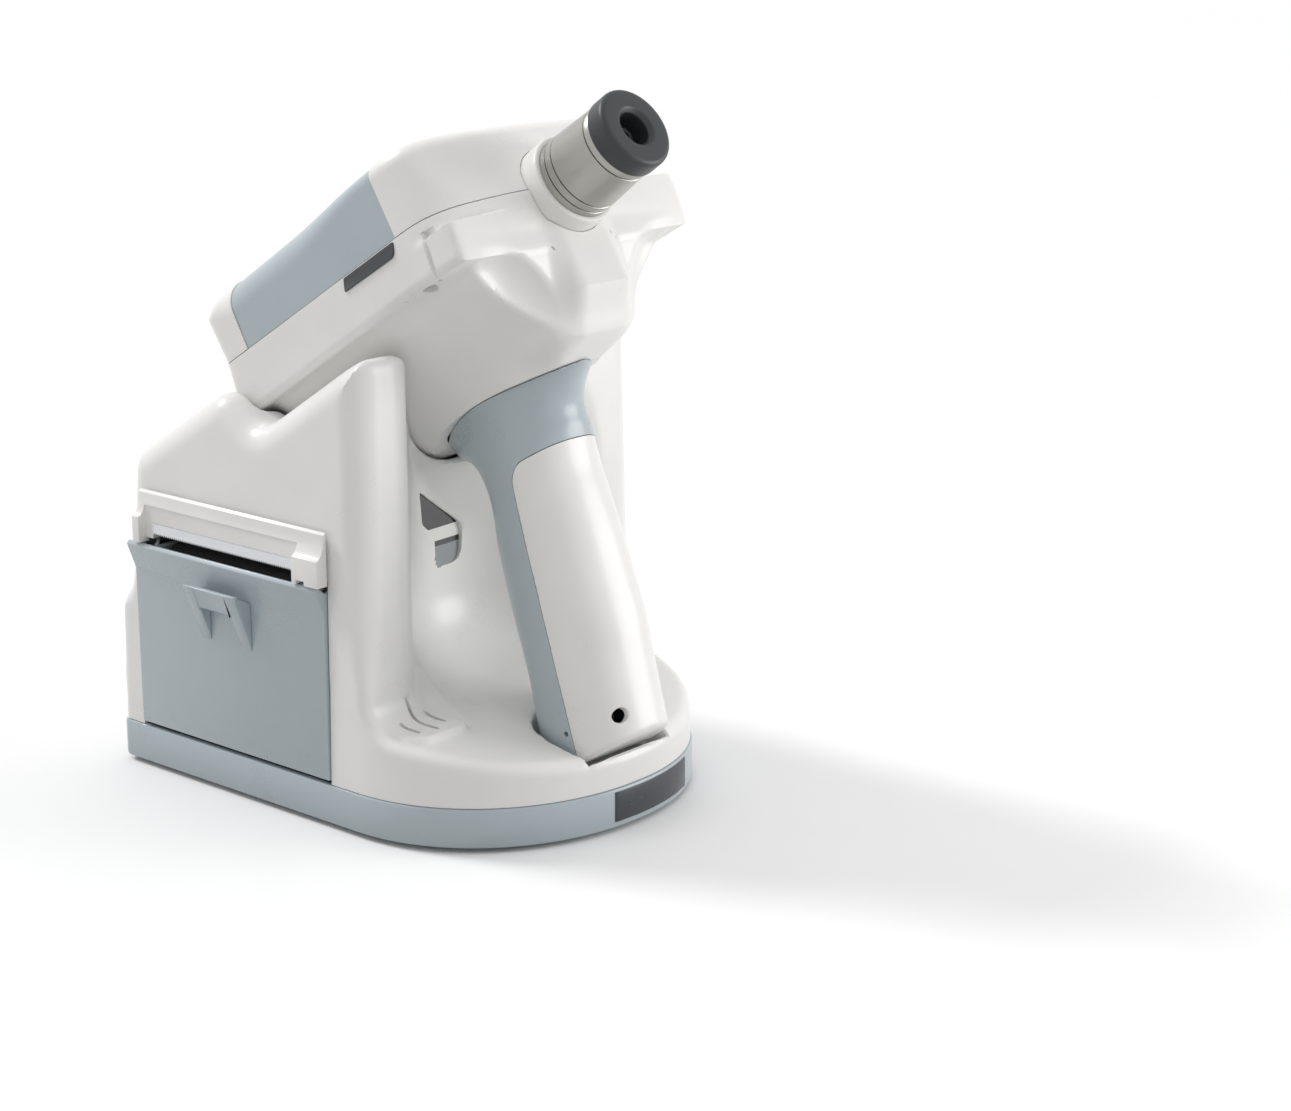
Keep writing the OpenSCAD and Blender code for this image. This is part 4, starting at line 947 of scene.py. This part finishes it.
@dataclass
class Instrument:
    """Handset: head shells, neck, badge, display and keys."""

    step: float = 1.25
    skin: float = 2.4
    seam: float = 0.16
    front_seam: Pair = (-73.45, 0.05)
    rear_seam: Pair = (-171.3, 0.08)
    cover_drop: float = 0.4
    bore: float = 18.5
    screw_at: Pair = (-74.0, 56.5)
    pane_half: Pair = (28.3, 9.8)
    key_at: Pair = (41.0, 5.4)
    key_hole: float = 4.5
    memo: dict[int, Array] = field(default_factory=dict)

    def from_screw(self, u: Array, w: Array) -> Array:
        """Measures from the axis of the corner screws, w being the distance from the middle."""
        return np.hypot(u - self.screw_at[0], w - self.screw_at[1])

    def outside(self, u: Array, y: Array, v: Array) -> Array:
        """Gives head and neck with corner blocks, remembering the value on the grid."""
        key = (u.shape, y.shape, v.shape, float(u.flat[0]), float(v.flat[0]))
        if u.ndim == 3 and key in self.memo:
            return self.memo[key]
        shape = HEAD_FORM.whole(u, y, v)
        if u.ndim == 3:
            self.memo[key] = shape
        return shape

    def shell(self, u: Array, y: Array, v: Array) -> Array:
        """Gives the hollow moulding, uncut, with thicker wings."""
        shape = self.outside(u, y, v)
        w = np.abs(y)
        skin = self.skin + 3.4 * ease(u, -80, -68) * ease(w, 44, 54) + 2.8 * (1 - ease(v, -36, -20))
        boss = np.maximum(self.from_screw(u, w) - 5.5, v + 8)
        hollow = np.maximum(-(shape + skin), -boss)
        bore = np.maximum(np.hypot(y, v) - self.bore, -60 - u)
        return np.maximum(np.maximum(shape, np.where(boss < 0, shape, hollow)), -bore)

    def upper(self, u: Array, y: Array, v: Array) -> Array:
        """Gives the part of the moulding above the joint."""
        return np.maximum(self.shell(u, y, v), HEAD_FORM.parting(u) + self.seam - v)

    def front(self, u: Array, y: Array, v: Array) -> Array:
        """Gives the upper front moulding."""
        return np.maximum(self.upper(u, y, v), self.front_seam[0] + self.front_seam[1] * v + self.seam - u)

    def cover(self, u: Array, y: Array, v: Array) -> Array:
        """Gives the coloured cover, which lies a little below the white mouldings."""
        zone = np.maximum(u - self.front_seam[0] - self.front_seam[1] * v + self.seam,
                          self.rear_seam[0] + self.rear_seam[1] * v + self.seam - u)
        return np.maximum(np.maximum(self.upper(u, y, v), self.outside(u, y, v) + self.cover_drop), zone)

    def rear(self, u: Array, y: Array, v: Array) -> Array:
        """Gives the rear frame round the display and keys."""
        shape = np.maximum(self.upper(u, y, v), u - self.rear_seam[0] - self.rear_seam[1] * v + self.seam)
        p, n = leaned(u, v, HEAD_FORM.face_at, HEAD_FORM.face_rise)
        depth = np.abs(n) - 8
        shape = carve(shape, np.maximum(box_away(y, p, *self.pane_half, 2.0), depth), 0.4)
        key = np.hypot(np.abs(y) - self.key_at[0], np.abs(p) - self.key_at[1]) - self.key_hole
        return np.maximum(shape, -np.maximum(key, depth))

    def lower(self, u: Array, y: Array, v: Array) -> Array:
        """Gives the lower moulding with the neck, its corner grooves and screw wells."""
        shape = self.shell(u, y, v)
        w = np.abs(y)
        well = np.maximum(self.from_screw(u, w) - 3.0, v + 13)
        shape = carve(shape, well, 0.4)
        groove = np.maximum(np.abs(u + 60.5 - 0.1935 * (v + 4.5)) - 1.2, 60.9 - w)
        shape = carve(shape, np.maximum(groove, v + 4.5), 0.5)
        pocket = np.maximum(np.maximum(np.abs(u + 57.5) - 4.5, 58.6 - w), np.abs(v + 3.0) - 1.5)
        shape = carve(shape, pocket, 0.5)
        zone = np.maximum(v - HEAD_FORM.parting(u) + self.seam, HEAD_FORM.seam.at(u) + self.seam - v)
        return np.maximum(shape, zone)

    def build(self) -> None:
        """Meshes the shells and dresses display, keys and badge."""
        parts = (("head_front_moulding", self.front, WHITE, "shell_white", "head_front_shell"),
                 ("head_cover_moulding", self.cover, BLUE, "shell_blue", "top_cover"),
                 ("head_rear_moulding", self.rear, WHITE, "shell_white", "rear_bezel"),
                 ("head_lower_moulding", self.lower, WHITE, "shell_white", "head_lower_shell"))
        for name, form, finish, slot, node in parts:
            low, high = (-191.6, -65.2, -4.0), (-38, 65.5, 44)
            if node == "head_lower_shell":
                low, high = (-191.6, -65.2, -66.0), (-38, 65.5, 12)
            points, faces = contour(form, low, high, self.step)
            made = add_mesh(name, HEAD.to_model(points), faces)
            place_piece(made, finish, "handset", slot, node)
        pane = eased_copy("display_window", "display_pane", 0.3, 2)
        place_piece(pane, SMOKED, "handset", "dark_glass", "display_window")
        for key in ("menu", "back", "up", "down"):
            cap = eased_copy(f"key_{key}", f"{key}_key_cap", 0.7, 4)
            place_piece(cap, BLACK, f"{key}_key", "dark_plastic", f"key_{key}")
        self.badge()

    def badge(self) -> None:
        """Makes the blank badge that lies on the side of the head."""
        rings = []
        for inset, out in ((0.0, -61.9), (0.0, -62.85), (0.3, -63.1)):
            ring = eased_corners([(-108.3 + inset, -0.3 + inset), (-77.2 - inset, -2.5 + inset),
                                  (-74.6 - inset, 2.5 - inset), (-106.0 + inset, 4.4 - inset)],
                                 [0.8, 2.4, 1.2, 0.8], 6)
            rings.append(np.array([(a, out, b) for a, b in ring]))
        points, faces = loft(rings, False)
        made = add_mesh("blank_side_badge", HEAD.to_model(points), faces)
        place_piece(made, DARK, "handset", "dark_plastic", "side_badge")


@dataclass
class Nozzle:
    """Ring, barrel, soft cap and clear window, all turned about the nozzle axis."""

    cap_r: float = 16.0
    cap_len: float = 9.0
    mouth: float = 6.5
    reach: float = 37.0
    tube_r: float = 12.5
    grooves: Points = ((-34.0, 16.42), (-30.5, 16.35), (-12.0, 15.5))

    def build(self) -> None:
        """Turns each piece."""
        ring = eased_corners([(13.0, -49.0), (18.3, -49.0), (18.3, -self.reach), (13.0, -self.reach)],
                             [0, 0.4, 1.4, 0.4], 6)
        barrel = [(self.tube_r, -self.reach + 0.1), (16.5, -self.reach + 0.1)]
        for u, r in self.grooves:
            barrel += [(r - deep, u + along) for deep, along in (
                (0.0, -0.35), (0.12, -0.25), (0.75, -0.2), (0.75, 0.2), (0.12, 0.25), (0.0, 0.35))]
        barrel += [(15.3, -self.cap_len - 0.35), (15.0, -self.cap_len), (self.tube_r, -self.cap_len)]
        back = -self.cap_len + 0.05
        cap = eased_corners([(self.mouth, back), (15.6, back), (self.cap_r, back + 0.55),
                             (self.cap_r, 0.0), (self.mouth + 1.6, 0.0), (self.mouth, -1.6)],
                            [0, 0.2, 0.3, 2.4, 0.7, 0.6], 7)
        glass = [(3.1, -11.4), (12.4, -11.4), (12.4, -9.1), (3.1, -9.1)]
        for name, profile, finish, slot, node in (
                ("nozzle_base_ring", ring, IVORY, "ring_plastic", "nozzle_ring"),
                ("nozzle_barrel_tube", barrel, BARREL, "barrel_metal", "nozzle_barrel"),
                ("nozzle_soft_cap", cap, BLACK, "dark_plastic", "nozzle_cap"),
                ("nozzle_clear_window", glass, CLEAR, "clear_glass", "front_window")):
            points, faces = lathe(profile)
            made = add_mesh(name, HEAD.to_model(points), faces, 40)
            place_piece(made, finish, "handset", slot, node)


@dataclass
class Handle:
    """Handle body and battery cover."""

    step: float = 1.2
    skin: float = 2.4
    gap: float = 0.15
    screw: Pair = (-12.0, -120.6)
    pin_at: Pair = (0.4, -123.7)

    def along(self, u: Array, v: Array) -> tuple[Array, Array]:
        """Turns the head's coordinates into those across and along the handle."""
        return leaned(u, v, (HANDLE_FORM.centre, HANDLE_FORM.collar_top), -HANDLE_FORM.lean)

    def zone(self, u: Array, v: Array) -> Array:
        """Gives the part of the handle that the cover takes."""
        g, _ = self.along(u, v)
        return cross(HANDLE_FORM.divide - g, v - HANDLE_FORM.collar_low + 0.3, 6.0)

    def body(self, u: Array, y: Array, v: Array) -> Array:
        """Gives the coloured body with its collar, which has the thicker wall."""
        shape = HANDLE_FORM.solid(u, y, v)
        shape = np.maximum(shape, -(shape + self.skin + 3.6 * ease(v, -78, -66)))
        shape = np.maximum(shape, -(self.zone(u, v) - self.gap))
        g, h = self.along(u, v)
        pin = np.hypot(g - self.pin_at[0], h - self.pin_at[1]) - 1.0
        shape = carve(shape, np.maximum(pin, y + 17), 0.2)
        return np.maximum(shape, v - HEAD_FORM.seam.at(u) + self.gap)

    def cover(self, u: Array, y: Array, v: Array) -> Array:
        """Gives the white battery cover with its screw well."""
        shape = HANDLE_FORM.solid(u, y, v)
        shape = np.maximum(shape, -(shape + self.skin))
        shape = cross(shape, self.zone(u, v) + self.gap, 0.3)
        g, h = self.along(u, v)
        well = np.maximum(np.hypot(y - self.screw[0], h - self.screw[1]) - 2.9, 5 - g)
        return carve(shape, well, 0.5)

    def build(self) -> None:
        """Meshes both mouldings."""
        for name, form, finish, slot, node in (
                ("handle_body_moulding", self.body, BLUE, "shell_blue", "handle_body"),
                ("battery_cover_moulding", self.cover, WHITE, "shell_white", "battery_cover")):
            points, faces = contour(form, (-182, -27, -195), (-54, 27.2, -44), self.step)
            made = add_mesh(name, HEAD.to_model(points), faces)
            place_piece(made, finish, "handset", slot, node)


@dataclass
class Works:
    """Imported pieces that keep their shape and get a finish."""

    finishes: dict[str, Finish] = field(default_factory=lambda: {
        "tray_screws": STEEL, "dock_board": LAMINATE, "power_inlet": BLACK, "contact_block": BLACK,
        "charge_pin_left": GOLD, "charge_pin_right": GOLD, "tear_blade": STEEL, "printer_frame": STEEL,
        "print_head": CASTING, "feed_motor": STEEL, "roll_spindle": STEEL, "door_hinge_pin": STEEL,
        "platen_bushes": GOLD, "platen_roller": RUBBER, "platen_shaft": STEEL, "platen_gear": IVORY,
        "idler_gear": IVORY, "motor_pinion": GOLD, "paper_roll": PAPER, "roll_core": CARD,
        "head_screws": STEEL, "display_module": LAMINATE, "air_tube": BLACK, "optics_chassis": CASTING,
        "air_cylinder": STEEL, "piston": GOLD, "return_spring": STEEL, "solenoid": COPPER,
        "camera_module": BLACK, "main_board": LAMINATE, "cover_screw": STEEL, "battery_pack": WRAP,
        "contact_pads": GOLD})

    def build(self) -> None:
        """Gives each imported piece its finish."""
        for node, finish in self.finishes.items():
            thing = FRAME["nodes"][node]
            thing.data.materials.clear()
            thing.data.materials.append(finish.material())
            LOG.info("%s: packed piece dressed as %s", node, finish.name)


@dataclass
class Studio:
    """Pale floor, soft lights and camera."""

    eye: Place = (709.3, -733.4, 372.3)
    aim: Place = (76.7, 0.0, 108.8)
    lens: float = 74.65
    key_from: Place = (-0.70, -0.20, 0.68)
    key_power: float = 1.45
    zenith: float = 1.0
    horizon: float = 0.36
    thrown_back: Place = (0.52, 0.52, 0.52)
    fill_way: Place = (0.72, 0.66, 0.12)

    def build(self) -> None:
        """Sets floor, lights, world and camera."""
        self.floor()
        self.world()
        centre = np.array([0.03, 0.0, 0.12])
        self.sun("key", self.key_from, 14.0, self.key_power)
        self.lamp("right_fill", centre + 1.2 * np.array(self.fill_way), centre, 0.7, 6.0)
        self.camera()
        bpy.context.scene.view_settings.view_transform = "Standard"

    def floor(self) -> None:
        """Lays a wide floor: white wherever it is seen, greyer in what it throws back."""
        size = 6.0
        corners = [(-size, -size, 0), (size, -size, 0), (size, size, 0), (-size, size, 0)]
        floor = add_mesh("studio_floor", np.array(corners), [[0, 1, 2, 3]])
        made = FLOOR.material()
        tree = made.node_tree
        shader = tree.nodes["Principled BSDF"]
        mix = tree.nodes.new("ShaderNodeMix")
        mix.data_type = "RGBA"
        mix.inputs[6].default_value = (*self.thrown_back, 1)
        tree.links.new(self.seen(tree), mix.inputs[0])
        tree.links.new(shader.inputs["Base Color"].links[0].from_socket, mix.inputs[7])
        tree.links.new(mix.outputs[2], shader.inputs["Base Color"])
        floor.data.materials.append(made)

    def seen(self, tree: Tree) -> Socket:
        """Gives 1 to the camera, to reflections and through glass, and 0 to diffuse light."""
        path = tree.nodes.new("ShaderNodeLightPath")
        total = path.outputs["Is Camera Ray"]
        for ray in ("Is Glossy Ray", "Is Transmission Ray"):
            both = tree.nodes.new("ShaderNodeMath")
            both.operation = "ADD"
            both.use_clamp = True
            tree.links.new(total, both.inputs[0])
            tree.links.new(path.outputs[ray], both.inputs[1])
            total = both.outputs[0]
        return total

    def world(self) -> None:
        """Sets a sky that is brightest overhead, and plain white wherever it is seen."""
        world = bpy.data.worlds.new("studio")
        bpy.context.scene.world = world
        world.use_nodes = True
        tree = world.node_tree
        place = tree.nodes.new("ShaderNodeTexCoord")
        split = tree.nodes.new("ShaderNodeSeparateXYZ")
        tree.links.new(place.outputs["Generated"], split.inputs[0])
        rise = tree.nodes.new("ShaderNodeMapRange")
        rise.inputs["To Min"].default_value = self.horizon
        rise.inputs["To Max"].default_value = self.zenith
        tree.links.new(split.outputs["Z"], rise.inputs["Value"])
        mix = tree.nodes.new("ShaderNodeMix")
        mix.data_type = "FLOAT"
        mix.inputs[3].default_value = 1.0
        tree.links.new(rise.outputs["Result"], mix.inputs[2])
        tree.links.new(self.seen(tree), mix.inputs[0])
        tree.links.new(mix.outputs[0], tree.nodes["Background"].inputs["Strength"])
        tree.nodes["Background"].inputs["Color"].default_value = (1, 1, 1, 1)

    def sun(self, name: str, come: Place, spread: float, power: float) -> None:
        """Shines a soft sun.

        Args:
            name: Name of the lamp.
            come: Direction from which it shines.
            spread: Angle that its face spans, in degrees.
            power: Strength in watts per square metre.
        """
        light = bpy.data.lights.new(name, "SUN")
        light.energy = power
        light.angle = math.radians(spread)
        lamp = bpy.data.objects.new(name, light)
        lamp.rotation_euler = self.facing(-np.array(come))
        bpy.context.scene.collection.objects.link(lamp)

    def lamp(self, name: str, at: Array, aim: Array, size: float, power: float) -> None:
        """Hangs one soft lamp.

        Args:
            name: Name of the lamp.
            at: Its place in metres.
            aim: Where it points.
            size: Width of its face in metres.
            power: Power in watts.
        """
        light = bpy.data.lights.new(name, "AREA")
        light.energy = power
        light.size = size
        light.shape = "DISK"
        lamp = bpy.data.objects.new(name, light)
        lamp.location = at
        lamp.rotation_euler = self.facing(np.array(aim) - np.array(at))
        bpy.context.scene.collection.objects.link(lamp)

    def facing(self, way: Array) -> Place:
        """Gives the rotation that points an object's -Z along a direction."""
        return tuple(Vector(way.tolist()).to_track_quat("-Z", "Y").to_euler())

    def camera(self) -> None:
        """Places the camera on the dock's axes."""
        data = bpy.data.cameras.new("camera")
        data.lens = self.lens
        data.sensor_width = 36.0
        data.clip_start = 0.01
        camera = bpy.data.objects.new("camera", data)
        eye, aim = DOCK.to_model(np.array([self.eye, self.aim]))
        camera.location = eye
        camera.rotation_euler = self.facing(aim - eye)
        bpy.context.scene.collection.objects.link(camera)
        bpy.context.scene.camera = camera


def main() -> None:
    """Builds the whole scene."""
    logging.basicConfig(level=logging.INFO, format="%(name)s %(message)s")
    Studio().build()
    shell = DockShell()
    shell.build()
    BaseTray().build(shell)
    Printer().build()
    Instrument().build()
    Nozzle().build()
    Handle().build()
    Works().build()


if __name__ == "__main__":
    main()
